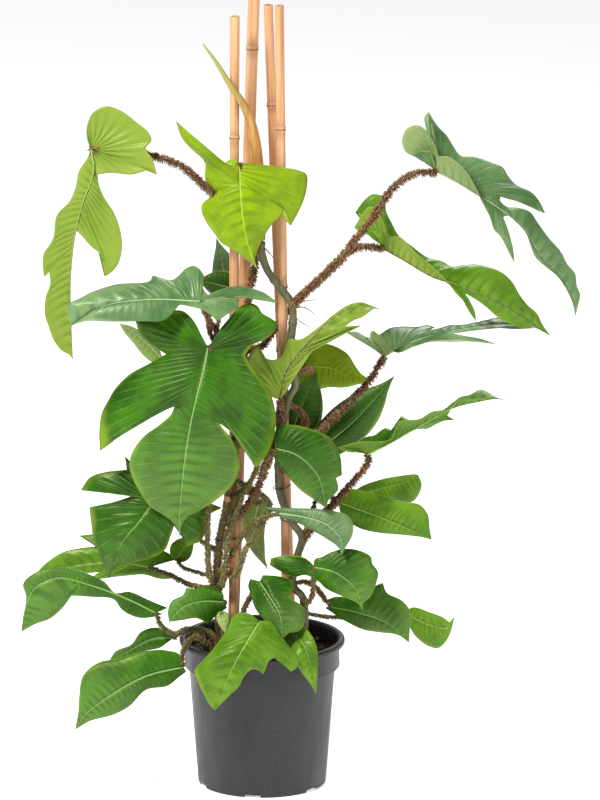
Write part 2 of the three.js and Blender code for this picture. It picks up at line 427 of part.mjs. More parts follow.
// The leaf's middle surface: midrib points, two rows towards each margin, and their triangles.
// A side vein runs from each margin point to its root on the midrib.
function leafSurface(curve, halves) {
  const roots = [...new Set([0, 1, ...halves.flat().map((p) => p.root)])].sort((a, b) => a - b);
  const points = roots.map((root) => curve.getPointAt(root));
  const triangles = [];
  const margins = [];
  halves.forEach((half, index) => {
    const side = index === 0 ? 1 : -1;
    const put = (a, b, c) => triangles.push(side > 0 ? [a, b, c] : [a, c, b]);
    const inner = [];
    const outer = [];
    half.forEach(({ point, root }) => {
      const start = curve.getPointAt(root);
      const across = point.clone().sub(start);
      const direction = curve.getTangentAt(root);
      const upper = direction.clone().cross(across).multiplyScalar(side).normalize();
      const middle = start.clone().addScaledVector(across, 0.5);
      middle.addScaledVector(upper, across.length() * LEAF_ARCH);
      inner.push(points.push(middle) - 1);
      outer.push(points.push(point.clone()) - 1);
    });
    for (let i = 0; i + 1 < half.length; i += 1) {
      put(inner[i], outer[i + 1], outer[i]);
      put(inner[i], inner[i + 1], outer[i + 1]);
    }
    const rib = half.map(({ root }) => roots.indexOf(root));
    for (let k = 0; k < rib[0]; k += 1) put(k, k + 1, inner[0]);
    for (let i = 0; i + 1 < half.length; i += 1) {
      for (let k = rib[i]; k < rib[i + 1]; k += 1) put(k, k + 1, inner[i]);
      put(rib[i + 1], inner[i + 1], inner[i]);
    }
    const last = half.length - 1;
    for (let k = rib[last]; k + 1 < roots.length; k += 1) put(k, k + 1, inner[last]);
    put(roots.length - 1, outer[last], inner[last]);
    margins.push([inner[0], ...outer]);
  });
  return { points, triangles, ribCount: roots.length, margins };
}

// A leaf blade: the middle surface thickened both ways, split alike on both faces, with the
// midrib standing out below. spread widens the margin, for cutting clearance around it.
function leafSolid({ points, triangles, ribCount, margins }, thickness, spread = 0) {
  const geometry = geometryFromLists(points, triangles);
  geometry.computeVertexNormals();
  const { normal } = geometry.attributes;
  const normals = points.map((_, i) => new THREE.Vector3().fromBufferAttribute(normal, i));
  const tip = ribCount - 1;
  const widened = points.map((point) => point.clone());
  if (spread > 0) {
    const behind = points[0].clone().sub(points[1]).normalize().multiplyScalar(spread);
    margins.forEach((margin) => {
      margin.slice(1).forEach((index) => {
        const away = points[index].clone().sub(points[0]).normalize();
        widened[index].addScaledVector(away, spread);
      });
      margin.slice(0, 2).forEach((index) => widened[index].add(behind));
    });
    widened[0].add(behind);
  }
  const upper = widened.map((point, i) => point.clone().addScaledVector(normals[i], thickness / 2));
  const lower = widened.map((point, i) => {
    const keel = i > 0 && i < tip ? MIDRIB_KEEL : 0;
    return point.clone().addScaledVector(normals[i], -thickness / 2 - keel);
  });
  const count = points.length;
  const faces = triangles.flatMap(([a, b, c]) => [[a, b, c], [a + count, c + count, b + count]]);
  const rim = [0, ...margins[1], tip, ...margins[0].slice().reverse()];
  rim.forEach((a, i) => {
    const b = rim[(i + 1) % rim.length];
    faces.push([b, a, a + count], [b, a + count, b + count]);
  });
  return solidFromLists([...upper, ...lower], faces);
}

// A tube along a curve. radius gives the radius at ring and side; both ends are closed.
function tubeSolid(curve, rings, sides, radius) {
  const frames = curve.computeFrenetFrames(rings, false);
  const points = [];
  const faces = [];
  for (let ring = 0; ring <= rings; ring += 1) {
    const centre = curve.getPointAt(ring / rings);
    for (let side = 0; side < sides; side += 1) {
      const angle = (side / sides) * Math.PI * 2;
      const r = radius(ring, side);
      points.push(centre.clone()
        .addScaledVector(frames.normals[ring], Math.cos(angle) * r)
        .addScaledVector(frames.binormals[ring], Math.sin(angle) * r));
    }
  }
  for (let ring = 0; ring < rings; ring += 1) {
    for (let side = 0; side < sides; side += 1) {
      const a = ring * sides + side;
      const b = ring * sides + ((side + 1) % sides);
      faces.push([a, b, a + sides], [b, b + sides, a + sides]);
    }
  }
  const start = points.push(curve.getPointAt(0)) - 1;
  const end = points.push(curve.getPointAt(1)) - 1;
  for (let side = 0; side < sides; side += 1) {
    const next = (side + 1) % sides;
    faces.push([start, next, side], [end, rings * sides + side, rings * sides + next]);
  }
  return solidFromLists(points, faces);
}

// A bristly leaf stalk: bristles stand out from every second corner of every ring
function stalkSolid(points, scale = 1) {
  const curve = curveThrough(points);
  const rings = Math.max(3, Math.round(curve.getLength() / STALK_STEP));
  return tubeSolid(curve, rings, STALK_SIDES, (ring, side) => {
    const inEnd = ring === 0 || ring === rings;
    const spike = !inEnd && (ring + side) % 2 === 0 ? BRISTLE : 0;
    return STALK_R * scale * (1 + spike) * (inEnd ? 0.8 : 1);
  });
}

// A smooth climbing stem, a little thicker at each node
function stemSolid(points) {
  const curve = curveThrough(points);
  const rings = Math.round(curve.getLength() / STEM_STEP);
  return tubeSolid(curve, rings, STEM_SIDES, (ring) => STEM_R + (ring % 4 === 2 ? STEM_NODE : 0));
}

function boxAround({ min, max }, room) {
  const size = max.map((value, i) => value - min[i] + 2 * room);
  const box = new THREE.BoxGeometry(...size);
  box.translate(...max.map((value, i) => (value + min[i]) / 2));
  return toSolid(box);
}

// Ends a stalk just before the blade's base
function stopShort(points) {
  const last = points[points.length - 1];
  const back = points[points.length - 2].clone().sub(last).normalize();
  return [...points.slice(0, -1), last.clone().addScaledVector(back, 4 * GAP)];
}

// Room in the soil for a stem, and for a stalk with its bristles
const stemHole = (points) => tubeSolid(curveThrough(points), 32, STEM_SIDES, () => STEM_R + 2);
const stalkHole = (points) => {
  const curve = curveThrough(points);
  return tubeSolid(curve, 8, 6, () => STALK_R * (1 + BRISTLE) * 1.2 + GAP);
};

// The canes: points as [x, y, z], and the heights of their nodes
const CANE_ROOM = 1.3;
const CANE_NODE = 1.1;
const CANES = {
  cane_a: { top: [-34, -20, 1008], foot: [-37, -20, 30], radius: 6, nodes: [850, 520] },
  cane_b: { top: [-10, 25, 1019], foot: [-42, 25, 30], radius: 7.4, nodes: [955, 640] },
  cane_c: { top: [8, 30, 1010], foot: [43, 30, 30], radius: 6, nodes: [880, 560] },
  cane_d: { top: [22, -15, 1021], foot: [33, -15, 30], radius: 5.8, nodes: [860, 655, 420] },
};

function caneSolid({ top, foot, radius, nodes }, extra = 0) {
  const from = new THREE.Vector3(...foot);
  const to = new THREE.Vector3(...top);
  const length = from.distanceTo(to);
  const profile = [[0, 0], [radius + extra, 0]];
  const rings = extra > 0 ? [] : nodes;
  rings.map((z) => z - foot[2]).sort((a, b) => a - b).forEach((z) => {
    profile.push([radius, z - 6], [radius + CANE_NODE, z - 1], [radius + CANE_NODE, z + 1]);
    profile.push([radius, z + 6]);
  });
  profile.push([radius + extra, length], [0, length]);
  const outline = profile.map(([r, z]) => new THREE.Vector2(r, z));
  const lathe = new THREE.LatheGeometry(outline, CANE_SIDES);
  const direction = to.clone().sub(from).normalize();
  lathe.applyQuaternion(new THREE.Quaternion().setFromUnitVectors(new THREE.Vector3(0, 1, 0), direction));
  lathe.translate(from.x, from.y, from.z);
  return toSolid(lathe);
}

function turned(profile, sides) {
  const lathe = new THREE.LatheGeometry(profile.map(([r, z]) => new THREE.Vector2(r, z)), sides);
  lathe.rotateX(Math.PI / 2);
  return toSolid(lathe);
}

function potSolid() {
  const ledge = COLLAR_R + 1;
  const rimZ = POT_HEIGHT - RIM_ROLL;
  let pot = turned([
    [0, 0], [BODY_BASE_R - 1.5, 0], [BODY_BASE_R, 1.5], [BODY_TOP_R, COLLAR_BASE_Z - 3],
    [ledge, COLLAR_BASE_Z], [COLLAR_R, rimZ], [RIM_OUTER_R, rimZ + 1],
    [RIM_OUTER_R, POT_HEIGHT - 2], [RIM_OUTER_R - 2, POT_HEIGHT], [COLLAR_R, POT_HEIGHT],
    [COLLAR_R - WALL, rimZ + 4], [ledge - WALL, COLLAR_BASE_Z + 2],
    [BODY_TOP_R - WALL, COLLAR_BASE_Z - 1], [BODY_BASE_R - WALL + 0.1, FLOOR], [0, FLOOR],
  ], POT_SIDES);
  for (let i = 0; i < NOTCH_COUNT; i += 1) {
    const angle = -Math.PI / 2 + FIRST_NOTCH + (i * 2 * Math.PI) / NOTCH_COUNT;
    const box = new THREE.BoxGeometry(NOTCH_DEPTH * 2, NOTCH_WIDTH, NOTCH_HEIGHT * 2);
    box.translate(BODY_BASE_R + NOTCH_DEPTH / 2, 0, 0);
    box.rotateZ(angle);
    pot = pot.subtract(toSolid(box));
  }
  return pot;
}

// Peat: fills the pot to the lumpy surface
function soilSolid() {
  const sides = 20;
  const ringRadii = [28, 60, 86];
  const lump = (x, y) => {
    const broad = Math.sin(x * 0.11 + 1) * Math.cos(y * 0.13);
    const fine = Math.sin(x * 0.29 - y * 0.23);
    return SOIL_LUMP * (0.6 * broad + 0.4 * fine);
  };
  const edge = [[BODY_BASE_R - WALL - 0.6, FLOOR + GAP], [BODY_TOP_R - WALL - 1.4, COLLAR_BASE_Z - 2],
    [COLLAR_R - WALL - 1.5, COLLAR_BASE_Z + 4.5], [COLLAR_R - WALL - 1.2, SOIL_TOP - 4]];
  const points = [new THREE.Vector3(0, 0, edge[0][1])];
  const faces = [];
  const rings = [...edge, ...ringRadii.slice().reverse().map((r) => [r, null])];
  rings.forEach(([r, z]) => {
    for (let i = 0; i < sides; i += 1) {
      const angle = (i / sides) * Math.PI * 2;
      const x = r * Math.cos(angle);
      const y = r * Math.sin(angle);
      points.push(new THREE.Vector3(x, y, z === null ? SOIL_TOP + lump(x, y) : z));
    }
  });
  const peak = points.push(new THREE.Vector3(0, 0, SOIL_TOP + lump(0, 0))) - 1;
  for (let i = 0; i < sides; i += 1) {
    const j = (i + 1) % sides;
    faces.push([0, 1 + j, 1 + i]);
    for (let k = 0; k + 1 < rings.length; k += 1) {
      const a = 1 + k * sides;
      faces.push([a + i, a + j, a + sides + j], [a + i, a + sides + j, a + sides + i]);
    }
    const b = 1 + (rings.length - 1) * sides;
    faces.push([b + i, b + j, peak]);
  }
  return solidFromLists(points, faces);
}

// A wire loop around a cane and a stem, flat in the plane across the cane
function tieSolid(z, centres) {
  const points = [];
  const steps = 16;
  for (let i = 0; i < steps; i += 1) {
    const angle = (i / steps) * Math.PI * 2;
    const out = new THREE.Vector2(Math.cos(angle), Math.sin(angle));
    const reach = centres.map(({ x, y, r }) => ({ x, y, r, d: x * out.x + y * out.y + r }));
    const far = reach.reduce((best, c) => (c.d > best.d ? c : best));
    points.push(new THREE.Vector3(far.x + out.x * far.r, far.y + out.y * far.r, z));
  }
  const loop = new THREE.CatmullRomCurve3(points, true, 'centripetal');
  return toSolid(new THREE.TubeGeometry(loop, 14, TIE_R, 4, true));
}

// The two climbing stems
const STEM_A = [[48, 135, 30], [52, 232, 28], [39, 248, 28], [45, 286, 28], [51, 309, 28],
  [40, 326, 28], [25, 358, 28], [21, 377, 28], [21, 400, 28], [25, 445, 28], [33, 484, 28],
  [42, 502, 28], [38, 519, 28], [35, 546, 28], [37, 562, 28], [38, 603, 28], [22, 626, 28],
  [6, 649, 28], [-1, 673, 28], [0, 683, 28]];
const STEM_B = [[-52, 135, 32], [-56, 230, 30], [-56, 281, 28], [-51, 319, 32], [-43, 357, 34],
  [-40, 395, 34], [-30, 445, 34], [-25, 508, 34], [-24, 565, 32]];

// Leaf stalks: the plant they grow on and the points up to the leaf's base
const STALKS = {
  leaf_01_top_left: ['b', [[-22, 560, 32], [-15, 622, 16], [-8, 663, 14], [-17, 700, 26], [-30, 718, 36],
    [-43, 729, 38], [-63, 745, 40], [-102, 779, 44], [-140, 792, 36],
    [-185, 801, 38]]],
  leaf_02_top_middle: ['a', [[-1, 666, 29], [-11, 678, 36], [-17, 705, 39], [-23, 740, 39]]],
  leaf_03_top_right: ['a', [[38, 603, 30], [48, 614, 36], [99, 663, 44], [120, 689, 46],
    [140, 714, 46], [153, 735, 46], [168, 754, 44], [192, 769, 42]]],
  leaf_04_upper_right: ['b', [[-24, 550, 32], [-8, 548, 10], [4, 556, -2], [19, 576, -5],
    [44, 610, -2], [73, 636, 8], [99, 660, 14], [118, 676, 16], [136, 677, 16]]],
  leaf_05_right: ['a', [[21, 395, 28], [37, 409, 31], [52, 424, 20], [86, 457, 8], [115, 486, -4],
    [137, 510, -12]]],
  leaf_06_right: ['a', [[51, 304, 28], [66, 326, 30], [87, 349, 28], [119, 385, 24],
    [134, 405, 21]]],
  leaf_07_middle_right: ['b', [[-43, 325, 34], [-13, 358, 38], [-1, 383, 40], [11, 417, 42],
    [23, 455, 42]]],
  leaf_08_big_front: ['b', [[-26, 530, 34], [-40, 541, 56], [-58, 548, 74]]],
  leaf_09_left: ['b', [[-24, 545, 33], [-40, 557, 46], [-60, 575, 62], [-71, 594, 77]]],
  leaf_10_behind_canes: ['b', [[-30, 530, 34], [-47, 540, 40], [-62, 560, 22], [-68, 584, -18],
    [-66, 596, -50], [-58, 604, -74]]],
  leaf_11_behind_canes: ['b', [[-30, 518, 34], [-47, 528, 40], [-58, 548, 14], [-56, 580, -26],
    [-47, 608, -48]]],
  leaf_12_behind_left: ['b', [[-36, 455, 34], [-52, 464, 38], [-70, 484, 10], [-98, 520, -28]]],
  leaf_13_behind_right: ['a', [[38, 519, 28], [54, 520, 4], [60, 522, -40]]],
  leaf_14_behind_right: ['a', [[33, 478, 28], [50, 468, 8], [54, 452, -24]]],
  leaf_15_right: ['a', [[21, 391, 28], [38, 398, 31], [52, 404, 8], [68, 414, -16]]],
  leaf_16_front_right: ['b', [[-1, 383, 40], [2, 400, 46], [9, 414, 54]]],
  leaf_17_left_front: ['b', [[-54, 292, 30], [-66, 298, 24], [-82, 308, 20], [-108, 332, 26],
    [-126, 350, 40]]],
  leaf_18_right: ['a', [[51, 306, 28], [62, 340, 10], [76, 366, -2]]],
  leaf_19_front_middle: ['b', [[-55, 262, 30], [-40, 285, 40], [-24, 314, 46], [-6, 332, 52]]],
  leaf_20_front_right: ['a', [[51, 222, 30], [62, 232, 40], [65, 254, 48]]],
  leaf_21_low_right: ['a', [[41, 250, 28], [52, 254, 26], [68, 246, 20], [76, 236, 16]]],
  leaf_22_low_right: ['a', [[51, 214, 26], [98, 208, 0], [140, 216, -14]]],
  leaf_23_front_low: ['low', [[-24, 146, 34], [-24, 214, 36], [-15, 234, 46]]],
  leaf_24_over_pot: ['low', [[-5, 140, 56], [-5, 176, 72], [-4, 196, 92]]],
  leaf_25_over_pot: ['low', [[28, 140, 44], [31, 174, 48], [34, 187, 59]]],
  leaf_26_low_left: ['low', [[-58, 146, 48], [-70, 176, 50], [-86, 184, 56], [-97, 174, 64],
    [-101, 158, 67]]],
  leaf_27_low_left: ['low', [[-64, 150, 14], [-80, 188, 18], [-98, 194, 19]]],
  leaf_28_left_twisted: ['low', [[-50, 148, 48], [-62, 186, 44], [-82, 194, 40], [-110, 188, 38],
    [-128, 198, 34]]],
  leaf_29_left_back: ['b', [[-56, 245, 30], [-89, 249, 0], [-118, 262, -21]]],
  leaf_30_low_left: ['b', [[-56, 215, 31], [-52, 222, 40], [-47, 228, 47]]],
  leaf_31_hanging_pale: ['b', [[-43, 354, 34], [-30, 366, 39], [-15, 368, 16], [-7, 362, 4]]],
  leaf_32_small: ['low', [[-44, 146, 60], [-48, 185, 68], [-51, 206, 74]]],
  leaf_33_left_back: ['b', [[-56, 256, 29], [-77, 264, 2], [-99, 271, -14]]],
  leaf_35_right_back: ['a', [[58, 325, 18], [78, 342, -20], [96, 353, -48]]],
};

// Older bristly stalks that stand close along the left stem
const OLD_STALKS = [
  [[-52, 232, 30], [-66, 262, 40], [-69, 306, 44], [-62, 385, 44], [-44, 425, 40], [-33, 436, 34]],
  [[-56, 242, 30], [-47, 262, 46], [-44, 310, 48], [-28, 357, 48], [-6, 402, 46], [-20, 450, 44],
    [-26, 470, 36]],
  [[-55, 270, 30], [-34, 262, 48], [-20, 296, 52], [2, 330, 46], [10, 352, 36], [-14, 372, 30],
    [-38, 384, 34]],
];

// Aerial roots, thin and bare, growing from the right stem's nodes
const ROOTS = [
  [[38, 602, 30], [50, 607, 36], [68, 610, 40]],
  [[39, 599, 30], [54, 600, 38], [68, 590, 42]],
  [[36, 598, 30], [46, 584, 36], [62, 575, 38]],
  [[22, 626, 30], [26, 634, 36], [30, 640, 40]],
  [[2, 676, 30], [10, 668, 38], [16, 660, 40]],
];

const LOOKS = {
  pot: material('#3f4145', 0.55),
  soil: material('#3a2a1e', 0.95),
  cane: material('#d7a36c', 0.6),
  stem: material('#6d6f4c', 0.7),
  sheath: material('#c98f4a', 0.55),
  tie: material('#1e2230', 0.5),
};
const leafLooks = {};
Object.entries(COLOURS).forEach(([tone, colour]) => {
  leafLooks[tone] = material(colour, 0.45);
});

const leaves = [
  ...LISTED_LEAVES.map(([name, tone, midrib, left, right]) => {
    const curve = curveThrough(midrib.map(place));
    const halves = [listedHalf(curve, left), listedHalf(curve, right)];
    return { name, tone, base: midrib[0], halves, curve };
  }),
  ...MEASURED_LEAVES.map(([name, tone, pixels, left, right, leans]) => {
    const midrib = pixels.map(([right, down, near]) => [...fromPhoto([right, down]), near]);
    const curve = curveThrough(midrib.map(place));
    const rows = [left, right].map((margin, side) => measuredRows(midrib, margin, leans[side]));
    return { name, tone, base: midrib[0], halves: rows.map((half) => listedHalf(curve, half)), curve };
  }),
  ...SIMPLE_LEAVES.map(([name, tone, shape, ears, leftWidth, rightWidth, leftLean, rightLean, midrib]) => {
    const curve = curveThrough(midrib.map(place));
    const halves = [
      templateHalf(curve, 1, shape, ears, leftWidth, leftLean),
      templateHalf(curve, -1, shape, ears, rightWidth, rightLean),
    ];
    return { name, tone, base: midrib[0], halves, curve };
  }),
];

const group = new THREE.Group();
const blades = [];
const cleared = [];
leaves.forEach(({ name, tone, halves, curve }) => {
  const surface = leafSurface(curve, halves);
  const blade = leafSolid(surface, LEAF_THICKNESS);
  blades.push(blade);
  group.add(toMesh(name, blade, leafLooks[tone]));
  cleared.push(leafSolid(surface, LEAF_THICKNESS + 5 * GAP));
  cleared.push(leafSolid(surface, LEAF_THICKNESS + 3 * GAP, 3 * GAP));
});

const plants = { a: [stemSolid(STEM_A.map(place))], b: [stemSolid(STEM_B.map(place))] };
const holes = [stemHole(STEM_A.map(place)), stemHole(STEM_B.map(place))];
leaves.forEach(({ name, base }) => {
  const [plant, route] = STALKS[name];
  const points = stopShort([...route, base].map(place));
  if (plant === 'low') {
    plants[name.replace('leaf', 'stalk')] = [stalkSolid(points)];
    holes.push(stalkHole(points));
  } else {
    plants[plant].push(stalkSolid(points));
  }
});
OLD_STALKS.forEach((route) => plants.b.push(stalkSolid(route.map(place))));
ROOTS.forEach((route) => {
  const curve = curveThrough(route.map(place));
  plants.a.push(tubeSolid(curve, 3, 4, (ring) => ROOT_R - 0.18 * ring));
});
const canes = Object.entries(CANES).map(([name, cane]) => [
  name, caneSolid(cane), caneSolid(cane, CANE_ROOM),
]);
canes.forEach(([name, solid]) => group.add(toMesh(name, solid, LOOKS.cane)));

// Everything that grows is joined into one piece a plant, and stops just short of the blades
const bladeRoom = wasm.Manifold.union(cleared);
const plantNames = { a: 'climbing_stem_right', b: 'climbing_stem_left' };
Object.entries(plants).forEach(([key, parts]) => {
  let whole = largestPiece(wasm.Manifold.union(parts).subtract(bladeRoom));
  blades.forEach((blade) => {
    const touch = whole.intersect(blade);
    if (!touch.isEmpty()) whole = whole.subtract(boxAround(touch.boundingBox(), GAP));
  });
  const tidied = toMesh(key, largestPiece(whole.simplify(FINEST)), LOOKS.stem);
  group.add(toMesh(plantNames[key] ?? key, largestPiece(toSolid(tidied.geometry)), LOOKS.stem));
});

// The new leaf, still rolled in its sheath on top of the right stem
const SHEATH = [[-0.2, 684.6, 27.8], [-1, 700, 25], [-3, 740, 18], [-6, 780, 13], [-11, 820, 18],
  [-18, 844, 26], [-28, 863, 34], [-37, 875, 38], [-58, 909, 44], [-74, 931, 48]];
const SHEATH_RADII = [5, 7, 8.2, 8.8, 8.2, 6.6, 5, 3.8, 2.6, 0.9];
const SHEATH_RINGS = 14;
const sheath = tubeSolid(curveThrough(SHEATH.map(place)), SHEATH_RINGS, 6, (ring) => {
  const at = (ring / SHEATH_RINGS) * (SHEATH_RADII.length - 1);
  const low = Math.min(Math.floor(at), SHEATH_RADII.length - 2);
  return THREE.MathUtils.lerp(SHEATH_RADII[low], SHEATH_RADII[low + 1], at - low);
});
group.add(toMesh('new_leaf_sheath', sheath, LOOKS.sheath));

const soilHoles = wasm.Manifold.union([...holes, ...canes.map(([, , room]) => room)]);
group.add(toMesh('pot', potSolid(), LOOKS.pot));
group.add(toMesh('soil', soilSolid().subtract(soilHoles), LOOKS.soil));

// Each tie: the cane and the stem point that it holds together
const TIES = [
  ['tie_upper', 'cane_d', [21, 372, 28]],
  ['tie_middle', 'cane_d', [38, 330, 28]],
  ['tie_lower', 'cane_d', [41, 264, 28]],
  ['tie_left', 'cane_a', [-53, 307, 31]],
];
TIES.forEach(([name, cane, stemPoint]) => {
  const stem = place(stemPoint);
  const { top, foot, radius } = CANES[cane];
  const share = (stem.z - foot[2]) / (top[2] - foot[2]);
  const x = THREE.MathUtils.lerp(foot[0], top[0], share);
  const y = THREE.MathUtils.lerp(foot[1], top[1], share);
  const room = TIE_R + 2 * GAP;
  const loop = tieSolid(stem.z, [
    { x, y, r: radius + room },
    { x: stem.x, y: stem.y, r: STEM_R + room + STEM_NODE },
  ]);
  group.add(toMesh(name, loop, LOOKS.tie));
});

export default group;
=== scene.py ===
import math
import random

import bpy
import numpy as np
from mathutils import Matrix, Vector


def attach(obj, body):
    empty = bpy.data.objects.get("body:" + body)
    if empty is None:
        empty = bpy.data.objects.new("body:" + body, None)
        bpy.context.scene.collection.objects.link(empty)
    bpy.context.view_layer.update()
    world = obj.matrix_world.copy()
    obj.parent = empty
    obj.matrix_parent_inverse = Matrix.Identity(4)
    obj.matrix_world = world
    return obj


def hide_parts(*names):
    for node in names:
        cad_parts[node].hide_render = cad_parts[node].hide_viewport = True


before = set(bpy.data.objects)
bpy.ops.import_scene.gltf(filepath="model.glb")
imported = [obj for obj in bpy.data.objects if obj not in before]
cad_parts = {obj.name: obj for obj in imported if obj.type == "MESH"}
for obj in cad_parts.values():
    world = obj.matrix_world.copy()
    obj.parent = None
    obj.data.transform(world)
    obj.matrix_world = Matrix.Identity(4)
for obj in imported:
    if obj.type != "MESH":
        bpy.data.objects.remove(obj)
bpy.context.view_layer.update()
rng = random.Random(7)

MM = 0.001
LINE_STEP = 1.5
VIEW_RISE = math.radians(15.5)
LEAF_THICKNESS = 0.9
LEAF_ARCH = 0.07
VEIN_SLANT, LAST_ROOT, RIB_STEPS = 0.5, 0.97, 100
MM_PER_PIXEL, PHOTO_LEFT, PHOTO_TOP = 1.265, -331.43, 989.23
POT_HEIGHT, RIM_OUTER_R, RIM_ROLL, COLLAR_R, COLLAR_BASE_Z = 190, 105, 8, 97.5, 154
BODY_TOP_R, BODY_BASE_R, WALL, FLOOR = 92.5, 81, 2, 2
NOTCH_COUNT, NOTCH_WIDTH, NOTCH_HEIGHT, NOTCH_DEPTH, FIRST_NOTCH = 6, 22.5, 5.5, 14, -8.6
POT_SIDES, POT_EDGE_R, POT_EDGE_STEPS, POT_SHARP_DEGREES = 144, 1.2, 4, 50
SOIL_TOP, SOIL_R, SOIL_RINGS, SOIL_SIDES, SOIL_GRIT = 168, 94, 34, 120, 1.1
SOIL_EDGE_R, SOIL_EDGE_WIDTH, SOIL_EDGE_DROP, LUMP_HEIGHT = 84, 10, 3, 4
CRUMB_SIZES, FIBRE_LENGTHS = (0.7, 2.6), (4, 11)
CRUMB_COUNT, CRUMB_SPREAD, FIBRE_COUNT, FIBRE_SPREAD, FIBRE_R = 2600, 93, 260, 86, 0.4

# Leaf blades and midribs
MARGIN_STEP, CORNER_DEGREES, WELD_DISTANCE = 3.0, 68, 2e-5
COLUMN_WIDTH, FEWEST_COLUMNS, MOST_COLUMNS = 5.5, 5, 15
VEIN_SHARE, VEIN_GAP_MIN, VEIN_GAP_MAX, VEIN_BEND = 0.2, 7, 17, 0.75
QUILT_HEIGHT, WAVE_HEIGHT, WAVE_LENGTH, FULL_RELIEF_WIDTH = 2.0, 1.5, 17, 40
GROOVE_DEPTH, GROOVE_WIDTH = 0.35, 3
WIDE_SHARE, NARROW_WIDTH, WHOLE_PULL = 0.3, 12, 0.6
RIB_SIDES, RIB_END, RIB_BASE_R, RIB_R_BY_LENGTH = 8, 0.985, 0.75, 0.0032

# Stems, stalks, bristles and roots: a rate is the bristles on each millimetre, and the sets hold
# leaf numbers
STEM_A_R, STEM_B_R, STEM_SIDES, STEM_RING_GAP = 5.0, 4.6, 16, 3
STEM_NODE_GAP, STEM_NODE_SWELL, STEM_NODE_WIDTH = 64, 1.1, 3
STEM_WAVE, STEM_WAVE_LENGTH, STUMP_R, STUMP_RINGS = 0.25, 9, 3.6, 5
STALK_R, OLD_STALK_R, STALK_SIDES, STALK_RING_GAP = 2.2, 2.7, 10, 5
THICK_STALK, THIN_STALK, SHORT_STALK, SHORT_LEAF = 1.3, 0.95, 0.75, 80
BRISTLE_DROOP, BRISTLE_LONG, RED_BRISTLE_LONG = 0.3, 4.2, 4.4
BRISTLE_SIZES, BRISTLE_LEANS, BRISTLE_FOOT = (0.55, 1.15), (-0.5, 0.7), 0.8
BRISTLE_WIDTH, BRISTLE_WIDTH_BY_LENGTH = 0.36, 0.2
OWN_RATE, OTHER_RATE = 5.4, 2.0
RED_RIBS, THICK_STALKS, GREEN_STALKS = {1, 3, 4, 7}, {1, *range(3, 9)}, {17, *range(19, 34)}
ROOT_RINGS, ROOT_SIDES, ROOT_R, ROOT_TIP_R = 10, 6, 1.1, 0.5

# Canes and the sheath
CANE_RINGS, CANE_SIDES, CANE_NODE_REACH, CANE_HOLLOW = 90, 28, 8, 9
CANE_RING, CANE_RING_AT, CANE_NECK, CANE_LINE_MARK, CANE_BAND_MARK = 1.1, 1.6, 0.3, 0.9, 0.35
SHEATH_RINGS, SHEATH_SIDES, SHEATH_FOLD, FOLD_AT, FOLD_WIDTH = 60, 20, 0.16, 4.4, 0.35

# Half outlines as [along, across, root]
OUTLINES = {
  'heart': [[-0.07, 0.16, 0], [-0.14, 0.46, 0], [-0.04, 0.8, 0], [0.13, 0.97, 0.03], [0.31, 1, 0.13],
    [0.5, 0.85, 0.3], [0.68, 0.56, 0.5], [0.82, 0.26, 0.7], [0.93, 0.08, 0.87]],
  'lobed': [[-0.08, 0.16, 0], [-0.22, 0.4, 0], [-0.1, 0.62, 0], [0.03, 0.5, 0], [0.15, 0.74, 0.02],
    [0.32, 0.96, 0.06], [0.5, 1, 0.13], [0.39, 0.56, 0.24], [0.5, 0.57, 0.35], [0.64, 0.54, 0.48],
    [0.78, 0.34, 0.63], [0.91, 0.09, 0.84]],
  'blade': [[-0.02, 0.4, 0], [0.1, 0.85, 0.04], [0.3, 1, 0.18], [0.5, 0.85, 0.36], [0.7, 0.52, 0.56],
    [0.87, 0.2, 0.78]],
}

